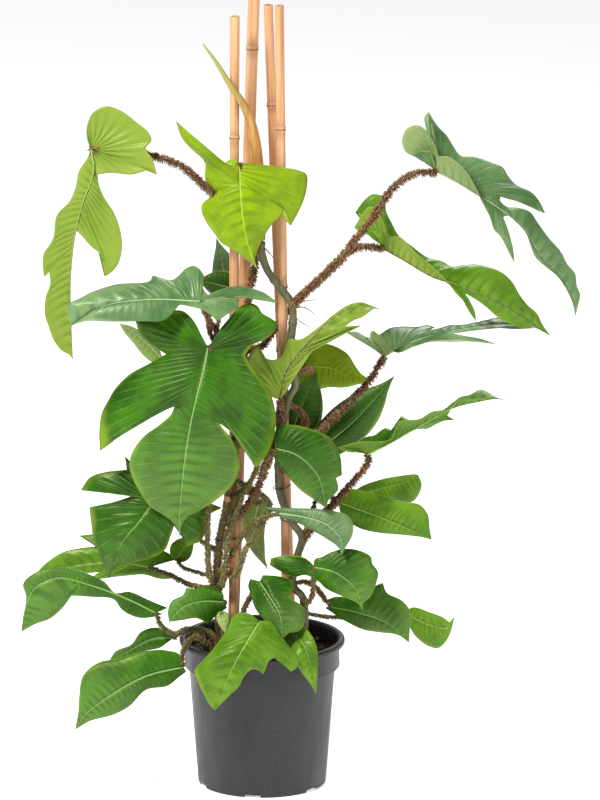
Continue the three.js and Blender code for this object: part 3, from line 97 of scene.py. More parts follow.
# Leaves listed in millimetres: name, tone, midrib, left and right margin, where a margin point is
# [across, up, lean, root] and its root is a share of the midrib in hundredths
LISTED_LEAVES = [
  ['leaf_01_top_left', 'fresh_green',
    [[-215, 799, 60], [-212, 772, 66], [-226, 730, 70], [-237, 686, 66], [-242, 629, 58],
     [-241, 578, 52], [-239, 535, 48]],
    [[-220, 787, -4, 2], [-230, 772, -8, 10], [-235, 749, -6, 17], [-243, 732, -6, 21],
     [-258, 716, -8, 25], [-263, 688, -10, 33], [-268, 678, -12, 37], [-275, 668, -14, 40],
     [-276, 653, -16, 43], [-274, 639, -16, 46], [-268, 646, -10, 49], [-267, 629, -8, 54],
     [-273, 612, -8, 60], [-274, 591, -8, 67], [-269, 576, -6, 74], [-262, 558, -4, 82],
     [-253, 546, -3, 89], [-243, 540, -1, 96]],
    [[-218, 812, -3, 0], [-219, 827, -8, 0], [-213, 844, -12, 0], [-196, 853, -14, 0],
     [-177, 847, -12, 0], [-157, 832, -6, 0], [-143, 820, 0, 0], [-139, 810, 2, 0],
     [-146, 800, 4, 0], [-138, 787, 6, 0], [-132, 767, 8, 0], [-142, 772, 8, 0],
     [-164, 767, 10, 0], [-190, 769, 10, 0], [-207, 767, 9, 2], [-205, 752, 4, 8],
     [-197, 734, 8, 12], [-187, 720, 10, 15], [-180, 702, 12, 17], [-176, 678, 12, 19],
     [-181, 655, 10, 21], [-190, 644, 8, 22], [-198, 639, 6, 23], [-194, 649, 6, 25],
     [-204, 667, 4, 27], [-215, 676, 2, 30], [-226, 689, 0, 33], [-234, 697, -2, 38],
     [-241, 673, -14, 44], [-248, 641, -26, 55], [-252, 610, -30, 66], [-249, 578, -22, 80],
     [-243, 553, -8, 92]]],
  ['leaf_02_top_middle', 'lime',
    [[-28, 782, 40], [-27, 749, 50], [-24, 713, 58], [-18, 681, 66], [-6, 648, 72]],
    [[-20, 780, -4, 0], [3, 779, -8, 0], [29, 776, -12, 1], [48, 772, -14, 2], [56, 767, -15, 3],
     [56, 750, -15, 5], [52, 734, -14, 8], [46, 720, -13, 11], [37, 703, -12, 14],
     [33, 715, -9, 17], [28, 725, -8, 22], [23, 715, -9, 30], [13, 706, -10, 40],
     [4, 692, -9, 54], [-4, 676, -7, 70], [-9, 660, -3, 86]],
    [[-37, 787, -3, 0], [-51, 781, -6, 3], [-65, 792, -9, 8], [-77, 807, -11, 12],
     [-92, 820, -12, 15], [-108, 834, -12, 17], [-100, 813, -12, 18], [-89, 800, -12, 18],
     [-72, 783, -12, 19], [-71, 762, -14, 19], [-61, 743, -14, 20], [-48, 757, -12, 20],
     [-62, 741, -7, 21], [-75, 730, -6, 22], [-76, 722, -6, 24], [-70, 708, -7, 30],
     [-59, 693, -8, 40], [-51, 682, -8, 50], [-35, 672, -6, 62], [-22, 662, -4, 76],
     [-10, 653, -2, 90]]],
  ['leaf_03_top_right', 'grey_green',
    [[220, 771, 40], [247, 757, 46], [273, 741, 48], [298, 725, 46], [329, 701, 42],
     [350, 668, 36], [371, 643, 30], [396, 606, 24], [396, 590, 22]],
    [[221, 799, -6, 0], [219, 812, -12, 0], [214, 832, -20, 0], [206, 830, -22, 0],
     [205, 839, -24, 0], [210, 846, -26, 0], [216, 836, -26, 0], [223, 827, -28, 1],
     [233, 817, -30, 2], [242, 802, -32, 3], [249, 792, -32, 5], [269, 789, -38, 7],
     [288, 783, -42, 9], [304, 777, -44, 11], [310, 768, -42, 13], [321, 755, -42, 14],
     [339, 745, -42, 16], [348, 735, -42, 17], [357, 718, -40, 18], [344, 725, -36, 20],
     [330, 737, -34, 22], [316, 743, -30, 25], [302, 741, -22, 29], [299, 735, -14, 34],
     [307, 727, -16, 38], [325, 725, -22, 42], [339, 720, -26, 46], [348, 708, -26, 50],
     [362, 688, -26, 58], [377, 669, -24, 66], [385, 654, -22, 72], [395, 643, -18, 78],
     [398, 626, -12, 85], [402, 616, -8, 89], [399, 603, -4, 94]],
    [[212, 797, 6, 0], [195, 796, 2, 0], [191, 791, 0, 0], [181, 794, 0, 0], [176, 808, -2, 0],
     [182, 824, -4, 0], [195, 830, -4, 0], [207, 824, 0, 0], [218, 803, 6, 0], [222, 790, 10, 1],
     [233, 789, 12, 4], [245, 782, 13, 8], [258, 770, 13, 13], [267, 756, 12, 19],
     [276, 736, 12, 24], [287, 713, 14, 27], [292, 697, 16, 29], [301, 688, 17, 31],
     [310, 673, 18, 32], [319, 657, 18, 33], [307, 681, 15, 34], [302, 698, 12, 35],
     [303, 712, 7, 37], [309, 716, 3, 41], [320, 708, 3, 46], [333, 694, 4, 51],
     [339, 678, 5, 56], [345, 663, 6, 61], [359, 650, 6, 68], [373, 639, 5, 76],
     [385, 622, 4, 84], [392, 606, 2, 92]]],
  ['leaf_04_upper_right', 'fresh_green',
    [[154, 675, 15], [182, 659, 20], [212, 641, 24], [242, 630, 26], [271, 619, 24],
     [300, 607, 20], [333, 588, 15], [353, 573, 12], [364, 565, 10]],
    [[158, 691, -4, 0], [156, 708, -8, 0], [149, 729, -10, 0], [137, 732, -12, 0],
     [118, 720, -14, 0], [129, 735, -15, 0], [140, 743, -16, 0], [153, 739, -16, 0],
     [157, 720, -16, 0], [164, 706, -16, 1], [172, 692, -14, 3], [190, 677, -18, 8],
     [210, 662, -22, 14], [226, 658, -28, 19], [240, 651, -26, 24], [250, 653, -26, 28],
     [269, 655, -30, 36], [288, 651, -32, 44], [304, 643, -32, 51], [316, 631, -30, 59],
     [325, 616, -26, 67], [336, 603, -20, 76], [348, 592, -12, 85], [354, 579, -5, 92]],
    [[154, 688, 4, 0], [148, 697, 2, 0], [138, 702, 0, 0], [127, 701, 0, 0], [116, 700, -2, 0],
     [125, 715, -2, 0], [134, 727, -2, 0], [146, 727, 0, 0], [153, 708, 4, 0], [161, 690, 8, 1],
     [173, 689, 10, 4], [186, 678, 11, 9], [199, 665, 11, 15], [213, 654, 10, 22],
     [228, 639, 9, 29], [238, 627, 8, 34], [245, 617, 10, 36], [254, 608, 12, 38],
     [262, 595, 14, 39], [271, 583, 14, 40], [269, 596, 12, 42], [259, 608, 9, 43],
     [248, 622, 3, 45], [261, 615, 3, 50], [280, 603, 4, 58], [297, 589, 5, 66],
     [314, 579, 5, 74], [329, 574, 5, 82], [345, 574, 3, 90]]],
  ['leaf_05_right', 'grey_green',
    [[155, 539, -20], [187, 555, -18], [225, 567, -18], [263, 574, -20], [301, 579, -24],
     [333, 576, -28], [342, 574, -30]],
    [[145, 545, -4, 0], [134, 557, -8, 0], [121, 565, -12, 0], [106, 569, -16, 0],
     [119, 570, -20, 0], [134, 562, -24, 0], [149, 565, -30, 2], [162, 573, -38, 4],
     [177, 576, -44, 7], [197, 577, -48, 10], [209, 579, -50, 12], [218, 576, -48, 13],
     [210, 570, -36, 17], [225, 573, -20, 30], [238, 577, -26, 38], [261, 579, -30, 48],
     [282, 584, -30, 60], [304, 588, -26, 72], [320, 582, -14, 86]],
    [[149, 546, 6, 0], [138, 559, 10, 0], [137, 569, 12, 0], [140, 572, 12, 0], [147, 567, 12, 0],
     [156, 557, 14, 1], [164, 547, 16, 3], [172, 543, 18, 4], [194, 550, 30, 7],
     [215, 557, 36, 10], [244, 558, 38, 13], [276, 557, 36, 16], [297, 553, 34, 18],
     [278, 560, 28, 22], [257, 565, 20, 28], [240, 568, 10, 36], [263, 570, 8, 50],
     [282, 572, 10, 62], [301, 574, 10, 74], [320, 573, 6, 88]]],
  ['leaf_06_right', 'rich_green',
    [[134, 414, 20], [162, 429, 24], [187, 443, 26], [216, 460, 26], [244, 474, 24],
     [273, 481, 20], [298, 485, 16], [307, 483, 15]],
    [[129, 424, -10, 0], [121, 430, -18, 0], [132, 437, -24, 0], [143, 439, -28, 1],
     [152, 445, -30, 3], [159, 447, -30, 6], [166, 441, -26, 9], [171, 453, -26, 13],
     [177, 463, -28, 17], [186, 458, -24, 22], [206, 448, -26, 27], [219, 453, -24, 31],
     [231, 457, -22, 35], [244, 457, -20, 38], [235, 462, -20, 43], [240, 472, -20, 52],
     [248, 482, -22, 58], [253, 488, -22, 62], [263, 490, -22, 68], [276, 497, -22, 75],
     [286, 493, -16, 84], [295, 487, -7, 93]],
    [[125, 417, 4, 0], [111, 418, 6, 0], [95, 423, 6, 0], [109, 427, 6, 0], [126, 430, 8, 0],
     [147, 430, 10, 2], [162, 433, 10, 7], [168, 445, 12, 11], [173, 457, 14, 14],
     [181, 458, 14, 18], [200, 459, 13, 27], [215, 467, 12, 36], [225, 469, 11, 44],
     [238, 471, 10, 52], [247, 481, 10, 58], [253, 487, 9, 62], [263, 485, 8, 70],
     [278, 486, 6, 80], [291, 487, 4, 90]]],
  ['leaf_07_middle_right', 'fresh_green',
    [[23, 483, 40], [30, 515, 50], [42, 536, 54], [58, 554, 54], [87, 583, 48], [120, 601, 38],
     [149, 598, 28]],
    [[32, 497, 3, 5], [43, 514, 5, 10], [53, 529, 7, 16], [63, 544, 8, 22], [71, 550, 10, 25],
     [86, 557, 12, 28], [105, 567, 12, 31], [126, 577, 8, 35], [105, 576, 4, 42],
     [114, 583, 5, 52], [127, 588, 5, 64], [137, 595, 4, 76], [143, 599, 2, 90]],
    [[8, 490, 4, 0], [-10, 506, 8, 0], [-20, 526, 8, 1], [-14, 543, 4, 2], [-4, 552, 0, 3],
     [1, 540, 0, 5], [13, 534, -2, 8], [24, 538, -6, 12], [28, 552, -8, 15], [33, 560, -10, 18],
     [48, 560, -12, 24], [63, 568, -14, 32], [78, 579, -14, 41], [92, 592, -13, 50],
     [107, 603, -11, 62], [124, 607, -8, 76], [139, 602, -4, 92]]],
  ['leaf_08_big_front', 'rich_green',
    [[-68, 549, 84], [-74, 519, 92], [-82, 488, 97], [-90, 452, 98], [-96, 417, 96],
     [-101, 376, 90], [-104, 338, 82], [-104, 309, 77]],
    [[-62, 555, -3, 0], [-53, 572, -8, 0], [-43, 584, -12, 0], [-28, 600, -16, 0],
     [-13, 605, -20, 0], [-5, 601, -22, 0], [0, 593, -22, 0], [10, 587, -24, 0],
     [19, 581, -24, 0], [16, 572, -24, 0], [4, 560, -20, 0], [-11, 553, -16, 0],
     [-21, 540, -12, 1], [-15, 529, -14, 3], [-5, 514, -18, 6], [8, 496, -22, 9],
     [15, 478, -24, 11], [18, 458, -26, 13], [16, 441, -26, 15], [10, 422, -24, 17],
     [0, 407, -20, 18], [-8, 397, -18, 19], [-10, 412, -16, 21], [-18, 428, -14, 23],
     [-28, 436, -11, 25], [-43, 447, -7, 29], [-58, 462, -4, 34], [-51, 450, -5, 38],
     [-41, 438, -8, 42], [-33, 424, -10, 46], [-28, 407, -12, 50], [-30, 391, -12, 55],
     [-40, 374, -11, 62], [-58, 357, -8, 70], [-78, 344, -5, 79], [-95, 335, -2, 88],
     [-102, 323, 0, 95]],
    [[-77, 559, -4, 0], [-83, 578, -8, 0], [-99, 595, -14, 0], [-119, 595, -18, 0],
     [-142, 587, -20, 0], [-159, 583, -20, 0], [-154, 568, -18, 0], [-142, 555, -14, 0],
     [-121, 541, -9, 1], [-142, 529, -13, 3], [-167, 515, -18, 6], [-186, 496, -22, 9],
     [-195, 481, -24, 11], [-202, 468, -26, 13], [-205, 445, -27, 16], [-204, 419, -28, 18],
     [-190, 431, -22, 20], [-167, 445, -16, 22], [-144, 462, -11, 25], [-125, 474, -8, 28],
     [-109, 479, -5, 32], [-114, 466, -7, 37], [-129, 452, -10, 41], [-148, 438, -14, 45],
     [-162, 420, -17, 49], [-167, 404, -18, 53], [-164, 386, -17, 59], [-154, 366, -14, 66],
     [-142, 350, -10, 74], [-125, 339, -6, 82], [-113, 330, -3, 89], [-106, 319, -1, 95]]],
  ['leaf_09_left', 'grey_green',
    [[-78, 608, 86], [-142, 610, 92], [-205, 600, 90], [-240, 577, 84]],
    [[-51, 606, 4, 0], [-28, 610, 4, 0], [-30, 601, 6, 0], [-43, 591, 8, 0], [-56, 582, 10, 0],
     [-71, 595, 6, 2], [-91, 601, 4, 6], [-104, 603, 2, 12], [-109, 597, 4, 16],
     [-123, 584, 10, 22], [-154, 582, 12, 36], [-187, 582, 10, 54], [-218, 583, 6, 72],
     [-232, 580, 3, 88]],
    [[-47, 612, -8, 0], [-15, 612, -14, 0], [22, 603, -18, 0], [0, 620, -22, 0],
     [-29, 627, -20, 0], [-52, 622, -14, 0], [-68, 615, -8, 0], [-75, 625, -14, 0],
     [-73, 639, -22, 0], [-84, 653, -30, 0], [-95, 650, -32, 1], [-105, 640, -30, 3],
     [-114, 634, -28, 6], [-138, 639, -34, 10], [-142, 632, -26, 18], [-182, 630, -28, 34],
     [-211, 620, -22, 54], [-230, 610, -14, 70], [-243, 604, -8, 82], [-245, 593, -4, 92]]],
  ['leaf_17_left_front', 'deep_green',
    [[-135, 357, 46], [-154, 331, 54], [-178, 301, 58], [-194, 258, 56]],
    [[-104, 363, -6, 0], [-78, 357, -8, 0], [-51, 347, -10, 0], [-70, 335, -10, 0],
     [-71, 319, -10, 0], [-78, 305, -10, 0], [-94, 299, -8, 0], [-102, 312, -6, 0],
     [-110, 328, -4, 2], [-115, 312, -6, 10], [-123, 293, -8, 20], [-142, 283, -8, 34],
     [-167, 278, -6, 50], [-186, 271, -3, 70]],
    [[-150, 385, -14, 0], [-173, 412, -16, 0], [-171, 395, -14, 0], [-199, 392, -14, 0],
     [-218, 385, -16, 0], [-229, 369, -16, 0], [-205, 368, -12, 0], [-177, 366, -8, 1],
     [-167, 361, -6, 3], [-192, 353, -12, 6], [-218, 347, -16, 9], [-216, 329, -14, 14],
     [-213, 306, -10, 28], [-207, 291, -8, 42], [-201, 276, -4, 62]]],
  ['leaf_24_over_pot', 'fresh_green',
    [[-3, 203, 104], [-23, 171, 119], [-42, 135, 127], [-59, 91, 129]],
    [[8, 204, -2, 0], [23, 186, 2, 2], [33, 173, 5, 4], [47, 156, 8, 8], [44, 145, 8, 9],
     [37, 140, 7, 10], [28, 148, 4, 13], [15, 158, 2, 17], [8, 153, 1, 21], [4, 143, 1, 24],
     [1, 137, 0, 26], [-5, 142, 0, 31], [-13, 143, 0, 36], [-22, 135, 0, 45], [-30, 120, 0, 57],
     [-42, 109, 0, 70], [-53, 98, 0, 88]],
    [[-10, 209, -3, 0], [-19, 214, -5, 0], [-32, 213, -7, 0], [-39, 205, -7, 0],
     [-42, 196, -7, 2], [-59, 173, -6, 10], [-75, 154, -5, 22], [-85, 142, -4, 32],
     [-81, 128, -3, 46], [-73, 111, -2, 64], [-66, 98, -1, 84]]],
]

# Leaves read in the photo, in its pixels: name, tone, midrib, left and right margin, leans
MEASURED_LEAVES = [
  ['leaf_12_behind_left', 'pale_green',
    [[163, 360, -44], [146, 343, -53], [133, 332, -61], [119, 323, -70]],
    [[155, 363], [144, 356], [133, 343], [124, 332]],
    [[159, 349], [148, 337], [133, 327]], [-0.5, -0.4]],
  ['leaf_16_front_right', 'deep_green',
    [[275, 448, 60], [297, 455, 66], [318, 476, 72], [326, 508, 76]],
    [[275, 434], [278, 426], [293, 425], [313, 430], [330, 438], [340, 455], [342, 475],
     [336, 478], [338, 489], [328, 501]],
    [[270, 449], [275, 459], [286, 474], [301, 490], [315, 500]], [-0.22, -0.22]],
  ['leaf_18_right', 'fresh_green',
    [[340, 503, -4], [368, 513, -3], [401, 526, -3], [432, 540, -2]],
    [[338, 493], [351, 489], [368, 492], [388, 498], [405, 502], [420, 505], [428, 515],
     [430, 530]],
    [[340, 511], [347, 520], [360, 528], [380, 533], [401, 535], [420, 537]], [-0.22, -0.22]],
  ['leaf_35_right_back', 'fresh_green',
    [[349, 499, -54], [380, 489, -59], [405, 483, -65], [420, 478, -70]],
    [[359, 488], [380, 480], [401, 476], [418, 475]],
    [[359, 505], [388, 503], [413, 502], [422, 486]], [-0.22, -0.22]],
  ['leaf_19_front_middle', 'grey_green',
    [[279, 513, 56], [305, 517, 64], [326, 524, 70], [340, 538, 72], [342, 555, 72]],
    [[263, 507], [289, 508], [318, 509], [334, 511], [347, 515], [353, 524], [352, 536],
     [345, 548]],
    [[265, 513], [280, 517], [301, 524], [313, 530], [326, 538], [338, 547]], [-0.3, -0.45]],
  ['leaf_20_front_right', 'rich_green',
    [[314, 567, 58], [334, 572, 66], [355, 588, 70], [363, 611, 70]],
    [[315, 559], [322, 557], [332, 552], [347, 549], [363, 552], [371, 557], [372, 563],
     [378, 572], [376, 584], [370, 597], [363, 603]],
    [[305, 558], [289, 556], [271, 559], [270, 565], [280, 571], [293, 577], [305, 575],
     [318, 581], [326, 588], [340, 595], [357, 603]], [-0.22, -0.22]],
  ['leaf_21_low_right', 'rich_green',
    [[331, 607, 16], [359, 613, 24], [388, 624, 28], [409, 643, 28]],
    [[327, 600], [336, 597], [351, 598], [365, 597], [376, 586], [383, 583], [387, 593],
     [402, 601], [411, 613], [410, 630]],
    [[325, 608], [334, 614], [347, 622], [363, 630], [380, 633], [397, 635]], [-0.22, -0.22]],
  ['leaf_22_low_right', 'fresh_green',
    [[405, 614, -30], [430, 626, -31], [447, 629, -33], [455, 617, -34]],
    [[413, 608], [430, 613], [443, 618], [450, 623]],
    [[407, 620], [410, 627], [415, 636], [428, 647], [439, 649], [448, 640], [453, 627]],
    [-0.22, -0.22]],
  ['leaf_23_front_low', 'rich_green',
    [[260, 582, 60], [270, 597, 78], [280, 615, 94], [283, 638, 100]],
    [[263, 575], [278, 576], [292, 580], [293, 588], [289, 599], [303, 607], [305, 620],
     [300, 630], [289, 633]],
    [[250, 579], [248, 586], [251, 595], [255, 607], [265, 620], [278, 630]], [-0.22, -0.22]],
  ['leaf_26_low_left', 'rich_green',
    [[183, 667, 69], [146, 676, 75], [108, 697, 80], [85, 715, 82], [75, 730, 82]],
    [[186, 672], [179, 677], [167, 686], [146, 690], [129, 707], [113, 715], [90, 721]],
    [[183, 659], [177, 653], [169, 651], [158, 650], [138, 653], [117, 659], [98, 663], [83, 676],
     [79, 697], [78, 713]], [-0.22, -0.22]],
  ['leaf_27_low_left', 'rich_green',
    [[173, 639, 18], [154, 639, 14], [129, 651, 10], [108, 663, 6]],
    [[167, 643], [160, 648], [144, 652], [125, 660]],
    [[172, 634], [167, 631], [154, 628], [140, 633], [131, 645], [115, 652]], [-0.22, -0.22]],
  ['leaf_28_left_twisted', 'rich_green',
    [[156, 613, 30], [125, 598, 36], [90, 585, 42], [58, 578, 46], [35, 588, 48], [25, 609, 46],
     [21, 632, 42]],
    [[163, 614], [154, 617], [138, 618], [122, 610], [113, 599], [90, 597], [69, 596], [63, 607],
     [50, 618], [35, 624]],
    [[167, 608], [150, 601], [129, 592], [115, 593], [104, 582], [88, 574], [69, 568], [50, 568],
     [33, 574], [23, 584], [26, 597], [23, 618]], [-0.3, -0.3]],
  ['leaf_30_low_left', 'rich_green',
    [[223, 602, 52], [204, 601, 60], [183, 607, 66], [169, 622, 70]],
    [[227, 608], [217, 615], [207, 623], [196, 618], [183, 620]],
    [[223, 594], [215, 588], [205, 586], [195, 589], [186, 588], [183, 595], [172, 601],
     [168, 611]], [-0.22, -0.22]],
]

# Leaves with a plain outline: name, tone, outline, ears, widths, leans, midrib
SIMPLE_LEAVES = [
  ['leaf_10_behind_canes', 'grey_green', 'heart', 0.3, 15, 18, -0.2, -0.2,
    [[-46, 620, -82], [-50, 655, -84], [-58, 689, -88]]],
  ['leaf_11_behind_canes', 'deep_green', 'heart', 1, 18, 18, -0.2, -0.3,
    [[-38, 625, -56], [-62, 631, -58], [-84, 636, -60]]],
  ['leaf_13_behind_right', 'lime', 'heart', 1, 28, 30, -0.3, -0.2,
    [[52, 526, -78], [86, 524, -86], [114, 512, -92], [140, 508, -96]]],
  ['leaf_14_behind_right', 'deep_green', 'heart', 1, 28, 30, -0.2, -0.2,
    [[39, 446, -46], [48, 470, -50], [60, 496, -52], [70, 520, -54]]],
  ['leaf_15_right', 'deep_green', 'heart', 0.5, 27, 28, -0.5, -0.4,
    [[84, 430, -30], [114, 455, -36], [142, 484, -42], [168, 514, -46]]],
  ['leaf_25_over_pot', 'fresh_green', 'heart', 0.6, 15, 22, -0.2, 0,
    [[37, 192, 66], [54, 171, 97], [65, 130, 108], [69, 110, 108]]],
  ['leaf_29_left_back', 'fresh_green', 'lobed', 1, 22, 36, -0.2, -0.3,
    [[-144, 271, -35], [-192, 277, -45], [-256, 268, -52], [-304, 249, -56]]],
  ['leaf_31_hanging_pale', 'pale_green', 'heart', 1, 15, 15, -0.2, -0.3,
    [[-5, 352, 0], [-11, 319, 2], [-2, 287, 4], [8, 268, 4]]],
  ['leaf_32_small', 'pale_green', 'blade', 1, 8, 8, -0.3, -0.3,
    [[-51, 215, 76], [-48, 199, 82], [-46, 187, 85]]],
  ['leaf_33_left_back', 'fresh_green', 'blade', 1, 15, 14, -0.3, -0.3,
    [[-109, 281, -20], [-98, 297, -24], [-84, 312, -26]]],
]

# Stems, leaf stalks, aerial roots, canes and the sheath
STEM_A = [[48, 135, 30], [52, 232, 28], [39, 248, 28], [45, 286, 28], [51, 309, 28],
  [40, 326, 28], [25, 358, 28], [21, 377, 28], [21, 400, 28], [25, 445, 28], [33, 484, 28],
  [42, 502, 28], [38, 519, 28], [35, 546, 28], [37, 562, 28], [38, 603, 28], [22, 626, 28],
  [6, 649, 28], [-1, 673, 28], [0, 683, 28]]
STEM_B = [[-52, 135, 32], [-56, 230, 30], [-56, 281, 28], [-51, 319, 32], [-43, 357, 34],
  [-40, 395, 34], [-30, 445, 34], [-25, 508, 34], [-24, 565, 32]]
# Each stalk: where it grows (stem a, stem b, or low in the soil), and its points up to the leaf
STALKS = {
  'leaf_01_top_left': ['b', [[-22, 560, 32], [-15, 622, 16], [-8, 663, 14], [-17, 700, 26],
    [-30, 718, 36], [-43, 729, 38], [-63, 745, 40], [-102, 779, 44], [-140, 792, 36],
    [-185, 801, 38]]],
  'leaf_02_top_middle': ['a', [[-1, 666, 29], [-11, 678, 36], [-17, 705, 39], [-23, 740, 39]]],
  'leaf_03_top_right': ['a', [[38, 603, 30], [48, 614, 36], [99, 663, 44], [120, 689, 46],
    [140, 714, 46], [153, 735, 46], [168, 754, 44], [192, 769, 42]]],
  'leaf_04_upper_right': ['b', [[-24, 550, 32], [-8, 548, 10], [4, 556, -2], [19, 576, -5],
    [44, 610, -2], [73, 636, 8], [99, 660, 14], [118, 676, 16], [136, 677, 16]]],
  'leaf_05_right': ['a', [[21, 395, 28], [37, 409, 31], [52, 424, 20], [86, 457, 8], [115, 486, -4],
    [137, 510, -12]]],
  'leaf_06_right': ['a', [[51, 304, 28], [66, 326, 30], [87, 349, 28], [119, 385, 24],
    [134, 405, 21]]],
  'leaf_07_middle_right': ['b', [[-43, 325, 34], [-13, 358, 38], [-1, 383, 40], [11, 417, 42],
    [23, 455, 42]]],
  'leaf_08_big_front': ['b', [[-26, 530, 34], [-40, 541, 56], [-58, 548, 74]]],
  'leaf_09_left': ['b', [[-24, 545, 33], [-40, 557, 46], [-60, 575, 62], [-71, 594, 77]]],
  'leaf_10_behind_canes': ['b', [[-30, 530, 34], [-47, 540, 40], [-62, 560, 22], [-68, 584, -18],
    [-66, 596, -50], [-58, 604, -74]]],
  'leaf_11_behind_canes': ['b', [[-30, 518, 34], [-47, 528, 40], [-58, 548, 14], [-56, 580, -26],
    [-47, 608, -48]]],
  'leaf_12_behind_left': ['b', [[-36, 455, 34], [-52, 464, 38], [-70, 484, 10], [-98, 520, -28]]],
  'leaf_13_behind_right': ['a', [[38, 519, 28], [54, 520, 4], [60, 522, -40]]],
  'leaf_14_behind_right': ['a', [[33, 478, 28], [50, 468, 8], [54, 452, -24]]],
  'leaf_15_right': ['a', [[21, 391, 28], [38, 398, 31], [52, 404, 8], [68, 414, -16]]],
  'leaf_16_front_right': ['b', [[-1, 383, 40], [2, 400, 46], [9, 414, 54]]],
  'leaf_17_left_front': ['b', [[-54, 292, 30], [-66, 298, 24], [-82, 308, 20], [-108, 332, 26],
    [-126, 350, 40]]],
  'leaf_18_right': ['a', [[51, 306, 28], [62, 340, 10], [76, 366, -2]]],
  'leaf_19_front_middle': ['b', [[-55, 262, 30], [-40, 285, 40], [-24, 314, 46], [-6, 332, 52]]],
  'leaf_20_front_right': ['a', [[51, 222, 30], [62, 232, 40], [65, 254, 48]]],
  'leaf_21_low_right': ['a', [[41, 250, 28], [52, 254, 26], [68, 246, 20], [76, 236, 16]]],
  'leaf_22_low_right': ['a', [[51, 214, 26], [98, 208, 0], [140, 216, -14]]],
  'leaf_23_front_low': ['low', [[-24, 146, 34], [-24, 214, 36], [-15, 234, 46]]],
  'leaf_24_over_pot': ['low', [[-5, 140, 56], [-5, 176, 72], [-4, 196, 92]]],
  'leaf_25_over_pot': ['low', [[28, 140, 44], [31, 174, 48], [34, 187, 59]]],
  'leaf_26_low_left': ['low', [[-58, 146, 48], [-70, 176, 50], [-86, 184, 56], [-97, 174, 64],
    [-101, 158, 67]]],
  'leaf_27_low_left': ['low', [[-64, 150, 14], [-80, 188, 18], [-98, 194, 19]]],
  'leaf_28_left_twisted': ['low', [[-50, 148, 48], [-62, 186, 44], [-82, 194, 40], [-110, 188, 38],
    [-128, 198, 34]]],
  'leaf_29_left_back': ['b', [[-56, 245, 30], [-89, 249, 0], [-118, 262, -21]]],
  'leaf_30_low_left': ['b', [[-56, 215, 31], [-52, 222, 40], [-47, 228, 47]]],
  'leaf_31_hanging_pale': ['b', [[-43, 354, 34], [-30, 366, 39], [-15, 368, 16], [-7, 362, 4]]],
  'leaf_32_small': ['low', [[-44, 146, 60], [-48, 185, 68], [-51, 206, 74]]],
  'leaf_33_left_back': ['b', [[-56, 256, 29], [-77, 264, 2], [-99, 271, -14]]],
  'leaf_35_right_back': ['a', [[58, 325, 18], [78, 342, -20], [96, 353, -48]]],
}
OLD_STALKS = [
  [[-52, 232, 30], [-66, 262, 40], [-69, 306, 44], [-62, 385, 44], [-44, 425, 40], [-33, 436, 34]],
  [[-56, 242, 30], [-47, 262, 46], [-44, 310, 48], [-28, 357, 48], [-6, 402, 46], [-20, 450, 44],
    [-26, 470, 36]],
  [[-55, 270, 30], [-34, 262, 48], [-20, 296, 52], [2, 330, 46], [10, 352, 36], [-14, 372, 30],
    [-38, 384, 34]],
]
ROOTS = [
  [[38, 602, 30], [50, 607, 36], [68, 610, 40]],
  [[39, 599, 30], [54, 600, 38], [68, 590, 42]],
  [[36, 598, 30], [46, 584, 36], [62, 575, 38]],
  [[22, 626, 30], [26, 634, 36], [30, 640, 40]],
  [[2, 676, 30], [10, 668, 38], [16, 660, 40]],
]
CUT_STUMP = [[-43, 357, 44], [-44, 358, 50], [-45, 358, 55]]
CANES = {
  'cane_a': { 'top': [-34, -20, 1008], 'foot': [-37, -20, 30], 'radius': 6, 'nodes': [850, 520] },
  'cane_b': { 'top': [-10, 25, 1019], 'foot': [-42, 25, 30], 'radius': 7.4, 'nodes': [955, 640] },
  'cane_c': { 'top': [8, 30, 1010], 'foot': [43, 30, 30], 'radius': 6, 'nodes': [880, 560] },
  'cane_d': { 'top': [22, -15, 1021], 'foot': [33, -15, 30], 'radius': 5.8, 'nodes': [860, 655, 420] },
}
SHEATH = [[-0.2, 684.6, 27.8], [-1, 700, 25], [-3, 740, 18], [-6, 780, 13], [-11, 820, 18],
  [-18, 844, 26], [-28, 863, 34], [-37, 875, 38], [-58, 909, 44], [-74, 931, 48]]
SHEATH_RADII = [5, 7, 8.2, 8.8, 8.2, 6.6, 5, 3.8, 2.6, 0.9]


# Points of the plant are [across, up, near], as the photo's view shows them, in millimetres
def place(p):
    x, up, near = p
    z = (up + near * math.sin(VIEW_RISE)) / math.cos(VIEW_RISE)
    return np.array([x, -near, z], float)


def unit(v):
    n = np.linalg.norm(v, axis=-1, keepdims=True)
    return v / np.maximum(n, 1e-9)


def placed(points, step=LINE_STEP):
    """A curve through points of the plant."""
    return Line([place(p) for p in points], step)


def bell(x, width):
    """A rounded bump: 1 at 0, and nearly 0 two widths away."""
    return np.exp(-(x / width) ** 2)


def circle(sides):
    """Angles round a full turn."""
    return np.linspace(0, 2 * np.pi, sides, endpoint=False)


